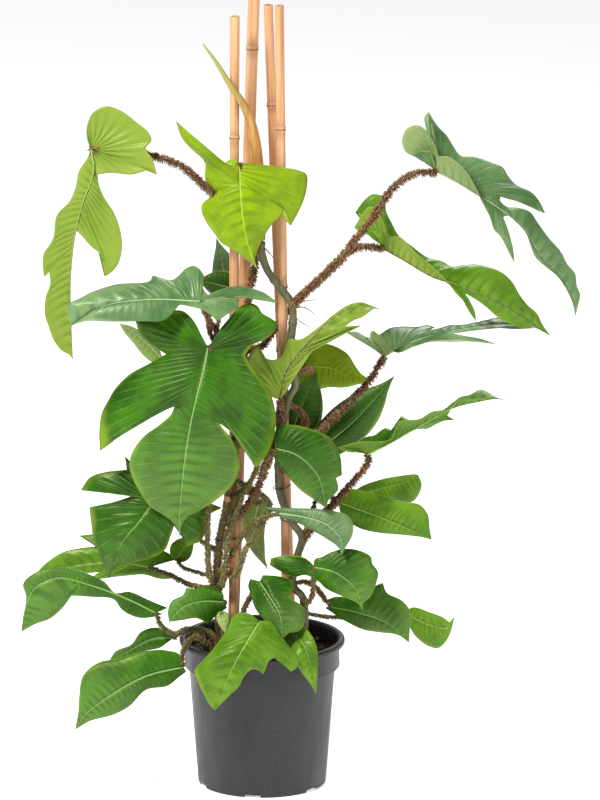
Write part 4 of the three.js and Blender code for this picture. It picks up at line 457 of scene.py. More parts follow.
def catmull(points, step):
    """A smooth line through the points: the samples, and each one's place among the points."""
    p = np.array(points, float)
    p = np.vstack([2 * p[0] - p[1], p, 2 * p[-1] - p[-2]])
    out, at = [], []
    for i in range(1, len(p) - 2):
        dt = [max(np.linalg.norm(p[i + k] - p[i + k - 1]) ** 0.5, 1e-3) for k in range(3)]
        a, b, c, d = p[i - 1:i + 3]
        t1 = ((b - a) / dt[0] - (c - a) / (dt[0] + dt[1]) + (c - b) / dt[1]) * dt[1]
        t2 = ((c - b) / dt[1] - (d - b) / (dt[1] + dt[2]) + (d - c) / dt[2]) * dt[1]
        n = max(2, int(math.ceil(np.linalg.norm(c - b) / step)))
        t = np.linspace(0, 1, n, endpoint=False)[:, None]
        second = 3 * (c - b) - 2 * t1 - t2
        third = 2 * (b - c) + t1 + t2
        out.append(b + t * t1 + t**2 * second + t**3 * third)
        at.append(i - 1 + t[:, 0])
    return np.vstack(out + [p[-2:-1]]), np.concatenate(at + [[len(p) - 3]])


class Line:
    """A curve by length: at() gives points, along() directions, for shares from 0 to 1."""

    def __init__(self, points, step=LINE_STEP):
        self.p, _ = catmull(points, step)
        gap = np.linalg.norm(np.diff(self.p, axis=0), axis=1)
        self.s = np.concatenate([[0], np.cumsum(gap)])
        self.length = self.s[-1]
        self.t = unit(np.gradient(self.p, axis=0))

    def at(self, share):
        s = np.clip(share, 0, 1) * self.length
        return np.stack([np.interp(s, self.s, self.p[:, k]) for k in range(3)], -1)

    def along(self, share):
        s = np.clip(share, 0, 1) * self.length
        return unit(np.stack([np.interp(s, self.s, self.t[:, k]) for k in range(3)], -1))


def bake(obj):
    """Puts what the modifiers make into the mesh itself."""
    depsgraph = bpy.context.evaluated_depsgraph_get()
    done = bpy.data.meshes.new_from_object(obj.evaluated_get(depsgraph))
    obj.modifiers.clear()
    obj.data = done


class Build:
    """Collects vertices, faces, material numbers and point values, then makes one piece."""

    def __init__(self):
        self.v, self.f, self.m, self.count = [], [], [], 0
        self.values = {"phase": [], "edge": [], "mark": []}

    def add(self, verts, faces, mat=0, phase=0.0, edge=0.0, mark=0.0):
        verts = np.asarray(verts, float).reshape(-1, 3)
        faces = np.asarray(faces, int)
        self.v.append(verts)
        self.f.extend((faces + self.count).tolist())
        self.m.extend([mat] * len(faces))
        for key, value in (("phase", phase), ("edge", edge), ("mark", mark)):
            self.values[key].append(np.broadcast_to(np.asarray(value, float).ravel(), (len(verts),)))
        self.count += len(verts)

    def make(self, name, materials, nodes, slot=None, thickness=0, doubles=False):
        mesh = bpy.data.meshes.new(name)
        mesh.from_pydata((np.vstack(self.v) * MM).tolist(), [], self.f)
        for key, rows in self.values.items():
            layer = mesh.attributes.new(key, "FLOAT", "POINT")
            layer.data.foreach_set("value", np.concatenate(rows).astype(np.float32))
        for m in materials:
            mesh.materials.append(m)
        mesh.polygons.foreach_set("material_index", self.m)
        mesh.polygons.foreach_set("use_smooth", [True] * len(mesh.polygons))
        obj = bpy.data.objects.new(name, mesh)
        bpy.context.scene.collection.objects.link(obj)
        if doubles:
            weld = obj.modifiers.new("weld", "WELD")
            weld.merge_threshold = WELD_DISTANCE
        if thickness:
            solid = obj.modifiers.new("thick", "SOLIDIFY")
            solid.thickness = thickness * MM
            solid.offset = 0
            solid.material_offset = 1
            solid.material_offset_rim = 1
        if doubles or thickness:
            bake(obj)
        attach(obj, "root")
        if nodes:
            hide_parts(*nodes)
        return obj


def grid_faces(rows, cols, flip=False, wrap=False):
    i, j = np.meshgrid(np.arange(rows - 1), np.arange(cols if wrap else cols - 1), indexing="ij")
    a, b = i * cols + j, i * cols + (j + 1) % cols
    quads = np.stack([a, a + cols, b + cols, b], -1).reshape(-1, 4)
    return quads[:, ::-1] if flip else quads


def fan_faces(sides):
    """Triangles from a ring of points to one last point at its centre."""
    i = np.arange(sides)
    return np.stack([i, (i + 1) % sides, np.full(sides, sides)], -1)


def frames(line, share):
    """Directions, and two steady cross directions, along a line."""
    d = line.along(share)
    n = np.zeros_like(d)
    start = np.array([0, -1.0, 0]) if abs(d[0][1]) < 0.9 else np.array([1.0, 0, 0])
    n[0] = unit(start - d[0] * (start @ d[0]))
    for k in range(1, len(d)):
        n[k] = unit(n[k - 1] - d[k] * (n[k - 1] @ d[k]))
    return d, n, np.cross(d, n)


def tube(build, line, rings, sides, radius, mat=0, mark=None):
    """A round tube; radius and mark are given for each ring, or for each ring and side."""
    share = np.linspace(0, 1, rings)
    _, n, b = frames(line, share)
    ang = circle(sides)
    r = np.asarray(radius, float)
    r = np.broadcast_to(r.reshape(rings, -1) if r.ndim else r, (rings, sides))
    ring = n[:, None] * np.cos(ang)[None, :, None] + b[:, None] * np.sin(ang)[None, :, None]
    verts = line.at(share)[:, None] + ring * r[..., None]
    phase = np.broadcast_to((share * line.length)[:, None], (rings, sides))
    marks = np.zeros((rings, sides))
    if mark is not None:
        marks = marks + mark.reshape(rings, -1)
    turn = np.broadcast_to(ang / (2 * np.pi), (rings, sides))
    build.add(verts, grid_faces(rings, sides, wrap=True), mat, phase, turn, marks)
    for k, at, order in ((0, 0.0, 1), (rings - 1, 1.0, -1)):
        cap = np.vstack([verts[k], line.at(at)[None]])
        build.add(cap, fan_faces(sides)[:, ::order], mat, phase[k][0], 0, marks[k][0])


def bristles(build, line, radius, per_mm, long, mat, start=0.0, end=1.0):
    """Scaly bristles round a stalk, pointing out and a little back, in three-sided points."""
    count = int(line.length * (end - start) * per_mm)
    share = np.array([rng.uniform(start, end) for _ in range(count)])
    share.sort()
    d, n, b = frames(line, share)
    ang = np.array([rng.uniform(0, 2 * np.pi) for _ in range(count)])[:, None]
    out = n * np.cos(ang) + b * np.sin(ang)
    size = np.array([rng.uniform(*BRISTLE_SIZES) for _ in range(count)])[:, None] * long
    lean = np.array([rng.uniform(*BRISTLE_LEANS) for _ in range(count)])[:, None]
    side = np.cross(d, out)
    foot = line.at(share) + out * radius * BRISTLE_FOOT
    tip = foot + (out + d * lean + np.array([0, 0, -BRISTLE_DROOP])) * size
    wide = BRISTLE_WIDTH + BRISTLE_WIDTH_BY_LENGTH * long
    rows = np.stack([foot + side * wide, foot - side * wide, foot + d * wide * 0.8, tip], 1)
    base = np.arange(count)[:, None] * 4
    faces = np.concatenate([base + [0, 2, 3], base + [2, 1, 3], base + [1, 0, 3]])
    tint = np.array([rng.random() for _ in range(count)])
    build.add(rows, faces, mat, phase=np.repeat(tint, 4), mark=np.tile([0, 0, 0, 1.0], count))


# Materials
def rgb(h):
    c = [int(h[i:i + 2], 16) / 255 for i in (1, 3, 5)]
    return [x / 12.92 if x <= 0.04045 else ((x + 0.055) / 1.055) ** 2.4 for x in c] + [1]


class Look:
    """A small helper that builds one node material."""

    def __init__(self, name):
        self.mat = bpy.data.materials.new(name)
        self.mat.use_nodes = True
        self.n = self.mat.node_tree.nodes
        self.l = self.mat.node_tree.links
        self.p = self.n["Principled BSDF"]

    def feed(self, node, key, source):
        """Links an output to the input, or sets the input's own value."""
        if hasattr(source, "is_output"):
            self.l.new(source, node.inputs[key])
        else:
            node.inputs[key].default_value = source

    def put(self, kind, links=(), **values):
        node = self.n.new(kind)
        for key, value in values.items():
            setattr(node, key, value)
        for key, source in links:
            self.feed(node, key, source)
        return node

    def value(self, name):
        return self.put("ShaderNodeAttribute", attribute_name=name).outputs["Fac"]

    def math(self, op, a, b=0.0):
        return self.put("ShaderNodeMath", [(0, a), (1, b)], operation=op).outputs[0]

    def times(self, a, b):
        return self.math("MULTIPLY", a, b)

    def fold(self, x):
        """How far x lies from the middle of its whole step: 0 to 0.5."""
        return self.math("ABSOLUTE", self.math("SUBTRACT", self.math("FRACT", x), 0.5))

    def ramp(self, x, lo, hi, a=0.0, b=1.0):
        links = [("Value", x), ("From Min", lo), ("From Max", hi), ("To Min", a), ("To Max", b)]
        return self.put("ShaderNodeMapRange", links, interpolation_type="SMOOTHSTEP").outputs[0]

    def mix(self, fac, a, b):
        return self.put("ShaderNodeMix", [(0, fac), (6, a), (7, b)], data_type="RGBA").outputs[2]

    def noise(self, scale, detail=3.0, stretch=(1, 1, 1)):
        coord = self.put("ShaderNodeTexCoord").outputs["Object"]
        spot = self.put("ShaderNodeMapping", [("Vector", coord), ("Scale", stretch)]).outputs[0]
        links = [("Vector", spot), ("Scale", scale), ("Detail", detail), ("Roughness", 0.55)]
        return self.put("ShaderNodeTexNoise", links).outputs["Fac"]

    def bump(self, height, strength, distance):
        links = [("Height", height), ("Strength", strength), ("Distance", distance)]
        node = self.put("ShaderNodeBump", links)
        self.l.new(node.outputs[0], self.p.inputs["Normal"])

    def finish(self, colour, rough, spec=0.5, glow=0.0, tint=(1, 1, 1)):
        self.feed(self.p, "Base Color", colour)
        self.feed(self.p, "Roughness", rough)
        self.p.inputs["Specular IOR Level"].default_value = spec
        self.p.inputs["Specular Tint"].default_value = [*tint, 1]
        if glow:
            light = self.put("ShaderNodeBsdfTranslucent")
            self.l.new(colour, light.inputs["Color"])
            both = self.put("ShaderNodeMixShader", [(0, glow)])
            self.l.new(self.p.outputs[0], both.inputs[1])
            self.l.new(light.outputs[0], both.inputs[2])
            self.l.new(both.outputs[0], self.n["Material Output"].inputs["Surface"])
        return self.mat


# Leaf tones: upper side, a darker tone for random clouding and for the painted shade by the veins,
# vein, margin, underside
TONES = {
    "lime": ("#8fab0c", "#6f9008", "#b9cf50", "#a5bd28", "#a9bf48"),
    "fresh_green": ("#64921a", "#3f6f0c", "#9cb95a", "#8fae3a", "#8a9c3e"),
    "rich_green": ("#387206", "#1c4a03", "#98be6a", "#a8c430", "#6a8c34"),
    "deep_green": ("#2f640c", "#1b4604", "#94b86c", "#a0b83a", "#5c8034"),
    # grey_green is the leaf's own greyish green, made paler and greyer as painted whitish sheen
    "grey_green": ("#6c9056", "#46703a", "#b4c69c", "#9cb478", "#8c9c60"),
    "pale_green": ("#9db564", "#7f9a48", "#c4cf94", "#a8bf62", "#b2c48a"),
}

# Painted sheen: how far each tone goes over to the vein colour from the leaf base to the tip
TIP_SHEEN = {"lime": 0.05, "fresh_green": 0.12, "rich_green": 0.24, "deep_green": 0.14,
    "grey_green": 0.1, "pale_green": 0.1}


FINE_VEINS, UPPER_VEINS, UNDER_VEINS = 4.0, 0.24, 0.34
LEAF_ROUGH, UPPER_SPECULAR, UNDER_SPECULAR, LEAF_GLOW = (0.28, 0.42), 0.32, 0.2, 0.16
GREY_GLOSS, GREEN_GLOSS = (1, 1, 0.85), (0.9, 1, 0.5)


def leaf_look(tone, under):
    up, deep, vein, margin, below = (rgb(c) for c in TONES[tone])
    k = Look(f"leaf_{tone}_{'under' if under else 'upper'}")
    phase, edge, along = k.value("phase"), k.value("edge"), k.value("mark")
    # Side veins in the middle of each step of the phase, with finer ones between them
    line = k.fold(phase)
    fine = k.fold(k.times(phase, FINE_VEINS))
    strong = k.times(k.ramp(line, 0.0, 0.11, 1.0, 0.0), k.ramp(edge, 0.75, 1.0, 1.0, 0.0))
    faint = k.times(k.ramp(fine, 0.0, 0.22, 0.18, 0.0), k.ramp(edge, 0.8, 1.0, 1.0, 0.0))
    # A cloudy colour with painted sheen growing towards the tip, then the margin, the veins and
    # painted shade in the hollows by them
    cloud = k.noise(26, 3)
    base = k.mix(k.ramp(cloud, 0.35, 0.68), up, deep)
    # Painted sheen: the colour grows lighter towards the leaf tip
    base = k.mix(k.ramp(along, 0.05, 0.8, 0.0, TIP_SHEEN[tone]), base, vein)
    if under:
        base = k.mix(k.ramp(cloud, 0.3, 0.7), below, k.mix(0.4, below, up))
    ragged = k.math("ADD", edge, k.times(k.noise(18, 2), 0.35))
    base = k.mix(k.ramp(ragged, 1.04, 1.26, 0.0, 0.25 if under else 0.65), base, margin)
    shown = UNDER_VEINS if under else UPPER_VEINS
    base = k.mix(k.times(k.math("ADD", strong, faint), shown), base, vein)
    base = k.mix(k.ramp(edge, 0.0, 0.05, 0.4, 0.0), base, vein)
    # Painted shade: the colour darkens in the hollows beside each side vein
    hollow = k.times(k.ramp(line, 0.05, 0.26, 0.55, 0.0), k.ramp(edge, 0.2, 0.95, 1.0, 0.0))
    base = k.mix(hollow, base, k.mix(0.5, deep, rgb("#0c3308")) if not under else deep)
    base = k.mix(k.ramp(k.noise(420, 2), 0.6, 0.8, 0.0, 0.12), base, deep)
    grain = k.math("ADD", k.times(k.noise(900, 2), 0.25), k.times(line, 0.8))
    k.bump(grain, 0.45, 0.0014)
    rough = k.ramp(k.noise(60, 2), 0.3, 0.7, *LEAF_ROUGH)
    gloss = GREY_GLOSS if tone == "grey_green" else GREEN_GLOSS
    return k.finish(base, rough, UNDER_SPECULAR if under else UPPER_SPECULAR, LEAF_GLOW, gloss)


def rib_look(tone, red):
    up, _, vein, _, below = (rgb(c) for c in TONES[tone])
    k = Look(f"midrib_{tone}{'_red' if red else ''}")
    under = rgb("#43190f") if red else k.mix(0.5, vein, below)
    worn = k.mix(k.ramp(k.noise(300, 2), 0.4, 0.7, 0.0, 0.5), under, vein)
    base = k.mix(k.value("mark"), k.mix(0.45, vein, up), worn)
    k.bump(k.noise(500, 2), 0.3, 0.0008)
    return k.finish(base, 0.45)


def plain_look(name, a, b, scale, rough, bump=0.3, stretch=(1, 1, 1), far=0.0006):
    k = Look(name)
    cloud = k.noise(scale, 4, stretch)
    base = k.mix(k.ramp(cloud, 0.32, 0.7), rgb(a), rgb(b))
    k.bump(k.noise(scale * 3, 3, stretch), bump, far)
    return k.finish(base, rough)


def bristle_look(name, foot, tip, foot_b, tip_b):
    k = Look(name)
    tint = k.value("phase")
    # Each scale goes from its foot colour to its tip colour: the dark foot is partly the scale's own
    # colour and partly painted shade among the bristles
    a = k.mix(tint, rgb(foot), rgb(foot_b))
    b = k.mix(tint, rgb(tip), rgb(tip_b))
    return k.finish(k.mix(k.value("mark"), a, b), 0.55)


def cane_look():
    k = Look("bamboo")
    streak = k.noise(210, 4, (1, 1, 0.03))
    broad = k.noise(30, 2, (1, 1, 0.12))
    base = k.mix(k.ramp(streak, 0.35, 0.7), rgb("#d0986a"), rgb("#a86f42"))
    base = k.mix(k.ramp(broad, 0.4, 0.75, 0.0, 0.6), base, rgb("#e9c294"))
    base = k.mix(k.ramp(k.noise(240, 3), 0.66, 0.74, 0.0, 0.55), base, rgb("#8d5a34"))
    # The mark darkens the node lines and the bands above them, which are the cane's own colour, and
    # the inside of the cut top as painted shade
    base = k.mix(k.value("mark"), base, rgb("#7a4c2c"))
    k.bump(streak, 0.35, 0.0006)
    return k.finish(base, k.ramp(broad, 0.3, 0.7, 0.42, 0.6), 0.4)


def pot_look():
    k = Look("pot_plastic")
    speck = k.noise(900, 2)
    scuff = k.noise(60, 5, (1, 1, 0.18))
    base = k.mix(k.ramp(speck, 0.3, 0.72), rgb("#1b1c1e"), rgb("#2b2c2e"))
    base = k.mix(k.ramp(scuff, 0.6, 0.85, 0.0, 0.35), base, rgb("#4d4f51"))
    base = k.mix(k.ramp(k.noise(1500, 1), 0.68, 0.76, 0.0, 0.4), base, rgb("#85898d"))
    k.bump(speck, 0.3, 0.0004)
    return k.finish(base, k.ramp(scuff, 0.3, 0.7, 0.36, 0.5), 0.4)


def sheath_look():
    k = Look("leaf_sheath")
    streak = k.noise(160, 4, (1, 1, 0.06))
    base = k.mix(k.ramp(streak, 0.3, 0.7), rgb("#cf9a55"), rgb("#b07a3a"))
    base = k.mix(k.ramp(k.value("mark"), 0.55, 0.95), base, rgb("#9aa34c"))
    base = k.mix(k.ramp(k.value("mark"), 0.0, 0.2, 0.8, 0.0), base, rgb("#7c8a3c"))
    k.bump(streak, 0.4, 0.0008)
    return k.finish(base, 0.45, 0.5, 0.1)


# Leaf blades
def number(name):
    """The number in a leaf's name."""
    return int(name[5:7])


def template_half(rib, side, shape, ears, width, lean):
    rows = []
    for along, across, root in OUTLINES[shape]:
        at = min(max(along, 0), 1)
        d = rib.along(np.array([at]))[0]
        flat = unit(np.array([d[0], 0, d[2]]))
        point = rib.at(np.array([at]))[0] + d * min(along, 0) * rib.length * ears
        point = point + np.array([-flat[2] * side, 0, flat[0] * side]) * across * width
        point[1] -= lean * across * width
        rows.append([*point, root])
    return np.array(rows)


def listed_half(rib, rows):
    out = []
    for across, up, lean, root in rows:
        near = -rib.at(np.array([root / 100]))[0][1] + lean
        out.append([*place([across, up, near]), root / 100])
    return np.array(out)


def from_photo(pixel):
    return [PHOTO_LEFT + MM_PER_PIXEL * pixel[0], PHOTO_TOP - MM_PER_PIXEL * pixel[1]]


def measured_rows(midrib, margin, lean):
    """Rows for listed_half from margin points read in the photo."""
    flat = np.array(midrib)[:, :2]
    s = np.concatenate([[0], np.cumsum(np.linalg.norm(np.diff(flat, axis=0), axis=1))])
    share = np.linspace(0, 1, RIB_STEPS + 1)
    steps = np.stack([np.interp(share * s[-1], s, flat[:, k]) for k in (0, 1)], axis=1)
    rows = []
    root = 0
    for pixel in margin:
        point = from_photo(pixel)
        far = np.linalg.norm(steps - point, axis=1)
        near = int(far.argmin())
        root = min(LAST_ROOT, max(share[near] - VEIN_SLANT * far[near] / s[-1], root))
        rows.append([*point, lean * far[near], round(100 * root)])
    return rows


def listed_leaf(name, tone, midrib, left, right):
    rib = placed(midrib)
    return name, tone, rib, [listed_half(rib, left), listed_half(rib, right)]


def measured_leaf(name, tone, pixels, left, right, leans):
    midrib = [[*from_photo(p), p[2]] for p in pixels]
    rows = [measured_rows(midrib, margin, lean) for margin, lean in zip((left, right), leans)]
    return listed_leaf(name, tone, midrib, *rows)


def simple_leaf(name, tone, shape, ears, wide_l, wide_r, lean_l, lean_r, midrib):
    rib = placed(midrib)
    left = template_half(rib, 1, shape, ears, wide_l, lean_l)
    right = template_half(rib, -1, shape, ears, wide_r, lean_r)
    return name, tone, rib, [left, right]


def margin_line(rib, half):
    """The margin smoothed between its corners, from the base round to the tip."""
    rows = np.vstack([[*rib.p[0], 0], half, [*rib.p[-1], 1]])
    p = rows[:, :3]
    d = unit(np.diff(p, axis=0))
    turn = np.degrees(np.arccos(np.clip((d[:-1] * d[1:]).sum(1), -1, 1)))
    cuts = [0] + [i + 1 for i, t in enumerate(turn) if t > CORNER_DEGREES] + [len(p) - 1]
    points, roots = [], []
    for a, b in zip(cuts[:-1], cuts[1:]):
        q, at = catmull(p[a:b + 1], MARGIN_STEP)
        keep = slice(0, None) if b == len(p) - 1 else slice(0, -1)
        points.append(q[keep])
        roots.append(np.interp(at, np.arange(b - a + 1), rows[a:b + 1, 3])[keep])
    return np.vstack(points), np.concatenate(roots)


def blade_half(build, rib, half, side, seed):
    edge, root = margin_line(rib, half)
    start = rib.at(root)
    across = edge - start
    far = np.linalg.norm(across, axis=1)
    cross = np.cross(rib.along(root), across) * side
    whole = unit(cross[far > far.max() * WIDE_SHARE].sum(0))
    upper = unit(unit(cross) * np.minimum(far / NARROW_WIDTH, 1)[:, None] + WHOLE_PULL * whole)
    for _ in range(3):
        upper[1:-1] = unit(upper[:-2] + upper[1:-1] + upper[2:])
    cols = int(np.clip(far.max() / COLUMN_WIDTH, FEWEST_COLUMNS, MOST_COLUMNS))
    v = np.linspace(0, 1, cols) ** 0.9
    s = np.concatenate([[0], np.cumsum(np.linalg.norm(np.diff(edge, axis=0), axis=1))])
    spacing = np.clip(far.max() * VEIN_SHARE, VEIN_GAP_MIN, VEIN_GAP_MAX)
    phase = s[:, None] / spacing - VEIN_BEND * (1 - v[None]) ** 2 + seed
    relief = np.minimum(far[:, None] / FULL_RELIEF_WIDTH, 1)
    quilt = np.abs(np.sin(np.pi * phase)) ** 0.8 - 0.6
    swell = np.sin(np.pi * v[None] ** 0.8) * relief
    wave = np.sin(s[:, None] / WAVE_LENGTH + seed * 5) * v[None] ** 3 * relief
    lift = 4 * v * (1 - v) * LEAF_ARCH * far[:, None] + QUILT_HEIGHT * quilt * swell
    lift = lift + WAVE_HEIGHT * wave
    lift -= GROOVE_DEPTH * bell(v[None] * far[:, None], GROOVE_WIDTH)
    verts = start[:, None] + across[:, None] * v[None, :, None] + upper[:, None] * lift[..., None]
    rim = np.broadcast_to(v, phase.shape)
    faces = grid_faces(len(edge), cols, side < 0)
    build.add(verts, faces, 0, phase + 20, rim, np.repeat(root, cols))


def midrib(build, rib, size, whole):
    rings = max(8, int(rib.length / 6))
    share = np.linspace(0, RIB_END, rings)
    d = rib.along(share)
    up = unit(whole - d * (d @ whole)[:, None])
    out = np.cross(d, up)
    r = size * (1 - 0.75 * share)[:, None, None]
    ang = circle(RIB_SIDES)[None, :, None]
    ring = out[:, None] * np.cos(ang) + up[:, None] * np.sin(ang)
    verts = rib.at(share)[:, None] + ring * r - up[:, None] * (r * 0.45)
    mark = np.broadcast_to((np.sin(ang[..., 0]) < 0.25).astype(float), (rings, RIB_SIDES))
    build.add(verts, grid_faces(rings, RIB_SIDES, wrap=True), 0, 0, 0, mark)


def farthest(half, middle):
    """The way from the middle to the margin point that lies farthest from it."""
    away = half[:, :3] - middle
    return away[np.argmax(np.linalg.norm(away, axis=1))]


LEAF_LOOKS, RIB_LOOKS = {}, {}
for tone in TONES:
    LEAF_LOOKS[tone] = [leaf_look(tone, False), leaf_look(tone, True)]
    RIB_LOOKS[tone] = [rib_look(tone, False), rib_look(tone, True)]

ALL_LEAVES = [listed_leaf(*row) for row in LISTED_LEAVES]
ALL_LEAVES += [measured_leaf(*row) for row in MEASURED_LEAVES]
ALL_LEAVES += [simple_leaf(*row) for row in SIMPLE_LEAVES]
for index, (name, tone, rib, halves) in enumerate(ALL_LEAVES):
    blade = Build()
    for half, side in zip(halves, (1, -1)):
        blade_half(blade, rib, half, side, index * 0.37)
    blade.make("blade_" + name[5:], LEAF_LOOKS[tone], [name], "leaf_" + tone, LEAF_THICKNESS, True)
    middle = rib.at(np.array([0.4]))[0]
    left, right = (farthest(half, middle) for half in halves)
    d = rib.along(np.array([0.4]))[0]
    whole = unit(unit(np.cross(d, left)) - unit(np.cross(d, right)))
    ridge = Build()
    midrib(ridge, rib, RIB_BASE_R + rib.length * RIB_R_BY_LENGTH, whole)
    ridge.make("rib_" + name[5:], [RIB_LOOKS[tone][number(name) in RED_RIBS]], [], "leaf_" + tone)


# Stems, leaf stalks, bristles and aerial roots
# The red stalk core and the dark scale feet are partly their own colour and partly painted shade among
# the bristles
RED_CORE = plain_look("stalk_red", "#40140a", "#642616", 220, 0.5)
GREEN_CORE = plain_look("stalk_green", "#3f4a16", "#666c28", 220, 0.5)
STEM_GREY = plain_look("stem_grey", "#716c46", "#4b4a30", 120, 0.55, 0.5, (1, 1, 0.4), 0.001)
STEM_BROWN = plain_look("stem_brown", "#5f4a2c", "#7b6a3a", 160, 0.6, 0.5)
RED_SCALES = bristle_look("scales_red", "#2e0f07", "#cf9257", "#260a05", "#7a2a16")
GREEN_SCALES = bristle_look("scales_green", "#3a4416", "#cbca74", "#23260c", "#8a6a28")
ROOT_LOOK = plain_look("aerial_root", "#6b4a30", "#9a7a52", 200, 0.7)
STUMP_LOOK = plain_look("cut_stump", "#c98f7c", "#a86a58", 300, 0.6)
GROWTH = [STEM_GREY, STEM_BROWN, RED_CORE, GREEN_CORE, RED_SCALES, GREEN_SCALES, ROOT_LOOK,
    STUMP_LOOK]
# The places of those looks in the list
GREY, BROWN, RED, GREEN, RED_SCALE, GREEN_SCALE, ROOT, STUMP = range(8)
plants = {"a": Build(), "b": Build()}
PLANT_NAMES = {"a": ("growth_right", "climbing_stem_right"),
    "b": ("growth_left", "climbing_stem_left")}


def stem(build, points, radius, mat):
    line = placed(points, 2)
    rings = int(line.length / STEM_RING_GAP)
    s = np.linspace(0, line.length, rings)
    node = bell(s % STEM_NODE_GAP - STEM_NODE_GAP / 2, STEM_NODE_WIDTH)
    r = radius + STEM_NODE_SWELL * node + STEM_WAVE * np.sin(s / STEM_WAVE_LENGTH)
    tube(build, line, rings, STEM_SIDES, r, mat, node)
    return line


stem(plants["a"], STEM_A, STEM_A_R, GREY)
left_stem = stem(plants["b"], STEM_B, STEM_B_R, BROWN)
for mat, rate in ((RED_SCALE, 4), (GREEN_SCALE, 7)):
    bristles(plants["b"], left_stem, STEM_B_R, rate, BRISTLE_LONG, mat, 0.2, 0.99)
tube(plants["b"], placed(CUT_STUMP), STUMP_RINGS, STALK_SIDES, STUMP_R, STUMP)

for name, _, rib, _ in ALL_LEAVES:
    plant, route = STALKS[name]
    line = Line([place(p) for p in route] + [rib.p[0]])
    green = number(name) in GREEN_STALKS
    build = Build() if plant == "low" else plants[plant]
    size = SHORT_STALK if rib.length < SHORT_LEAF else THIN_STALK
    if number(name) in THICK_STALKS:
        size = THICK_STALK
    rings = max(6, int(line.length / STALK_RING_GAP))
    taper = STALK_R * size * np.linspace(1.15, 0.85, rings)
    tube(build, line, rings, STALK_SIDES, taper, GREEN if green else RED)
    scales = (GREEN_SCALE, RED_SCALE) if green else (RED_SCALE, GREEN_SCALE)
    long = (BRISTLE_LONG if green else RED_BRISTLE_LONG) * size
    for mat, rate in zip(scales, (OWN_RATE, OTHER_RATE)):
        bristles(build, line, STALK_R * size, rate, long, mat)
    if plant == "low":
        node = name.replace("leaf", "stalk")
        build.make("bristly_" + node, GROWTH, [node], "stem")

for route in OLD_STALKS:
    line = placed(route)
    tube(plants["b"], line, int(line.length / STALK_RING_GAP), STALK_SIDES, OLD_STALK_R, GREEN)
    for mat, rate in ((GREEN_SCALE, 7), (RED_SCALE, 1.5)):
        bristles(plants["b"], line, OLD_STALK_R, rate, BRISTLE_LONG, mat)
for route in ROOTS:
    taper = np.linspace(ROOT_R, ROOT_TIP_R, ROOT_RINGS)
    tube(plants["a"], placed(route), ROOT_RINGS, ROOT_SIDES, taper, ROOT)
for key, (piece, node) in PLANT_NAMES.items():
    plants[key].make(piece, GROWTH, [node], "stem")

# The rolled new leaf
sheath = Build()
count = len(SHEATH_RADII)
radii = np.interp(np.linspace(0, count - 1, SHEATH_RINGS), range(count), SHEATH_RADII)
around = circle(SHEATH_SIDES)
crease = SHEATH_FOLD * bell(around - FOLD_AT, FOLD_WIDTH)
radii = radii[:, None] * (1 - crease + 0.05 * np.cos(2 * around))[None]
share = np.linspace(0, 1, SHEATH_RINGS)
tube(sheath, placed(SHEATH), SHEATH_RINGS, SHEATH_SIDES, radii, 0, share)
sheath.make("rolled_leaf", [sheath_look()], ["new_leaf_sheath"], "sheath")

# Bamboo canes, with node rings and a hollow cut top
for name, cane in CANES.items():
    foot, top = np.array(cane["foot"], float), np.array(cane["top"], float)
    length = np.linalg.norm(top - foot)
    reach = np.linspace(-CANE_NODE_REACH, CANE_NODE_REACH, 2 * CANE_NODE_REACH + 1)
    z = np.unique(np.concatenate([np.linspace(0, length, CANE_RINGS)] + [
        h - foot[2] + reach for h in cane["nodes"]]))
    near = np.min([np.abs(z - (h - foot[2])) for h in cane["nodes"]], axis=0)
    r = cane["radius"] + CANE_RING * bell(near - CANE_RING_AT, 1.4) - CANE_NECK * bell(near, 0.8)
    around = circle(CANE_SIDES)
    ring = np.stack([np.cos(around), np.sin(around), 0 * around], -1)
    centre = foot + (top - foot) * (z / length)[:, None]
    wobble = 1 + 0.02 * np.sin(z / 60 + top[0])[:, None]
    verts = centre[:, None] + ring[None] * (r[:, None] * wobble)[..., None]
    mark = CANE_LINE_MARK * bell(near, 1.1) + CANE_BAND_MARK * bell(near - 6, 4.0)
    build = Build()
    build.add(verts, grid_faces(len(z), CANE_SIDES, wrap=True), 0, 0, 0, np.repeat(mark, CANE_SIDES))
    lip = np.stack([top + ring * cane["radius"], top + ring * cane["radius"] * 0.5,
        top + ring * cane["radius"] * 0.42 - np.array([0, 0, CANE_HOLLOW])])
    # Painted shade: darker from the inner rim down into the hollow of the cut top
    hollow_top_shade = np.repeat([0.0, 0.35, 1.0], CANE_SIDES)
    build.add(lip, grid_faces(3, CANE_SIDES, wrap=True), 0, 0, 0, hollow_top_shade)
    cap = np.vstack([lip[2], lip[2].mean(0)[None]])
    build.add(cap, fan_faces(CANE_SIDES), 0, 0, 0, 1)
    build.make("bamboo_" + name[-1], [cane_look()], [name], "cane")


# The pot: turned wall, rolled rim, ledge and six foot notches
def turned(build, profile, sides):
    """A profile of (radius, height) points turned about the upright axis."""
    rows = [[[r * math.cos(a), r * math.sin(a), z] for a in circle(sides)] for r, z in profile]
    build.add(rows, grid_faces(len(profile), sides, wrap=True))


def rounded(profile):
    """The profile with its corners rounded."""
    p = [np.array(q, float) for q in profile]
    out = [p[0]]
    for a, b, c in zip(p[:-2], p[1:-1], p[2:]):
        cut = min(POT_EDGE_R, np.linalg.norm(a - b) * 0.4, np.linalg.norm(c - b) * 0.4)
        s, e = b + unit(a - b) * cut, b + unit(c - b) * cut
        for t in np.linspace(0, 1, POT_EDGE_STEPS):
            out.append((1 - t)**2 * s + 2 * t * (1 - t) * b + t * t * e)
    return out + [p[-1]]


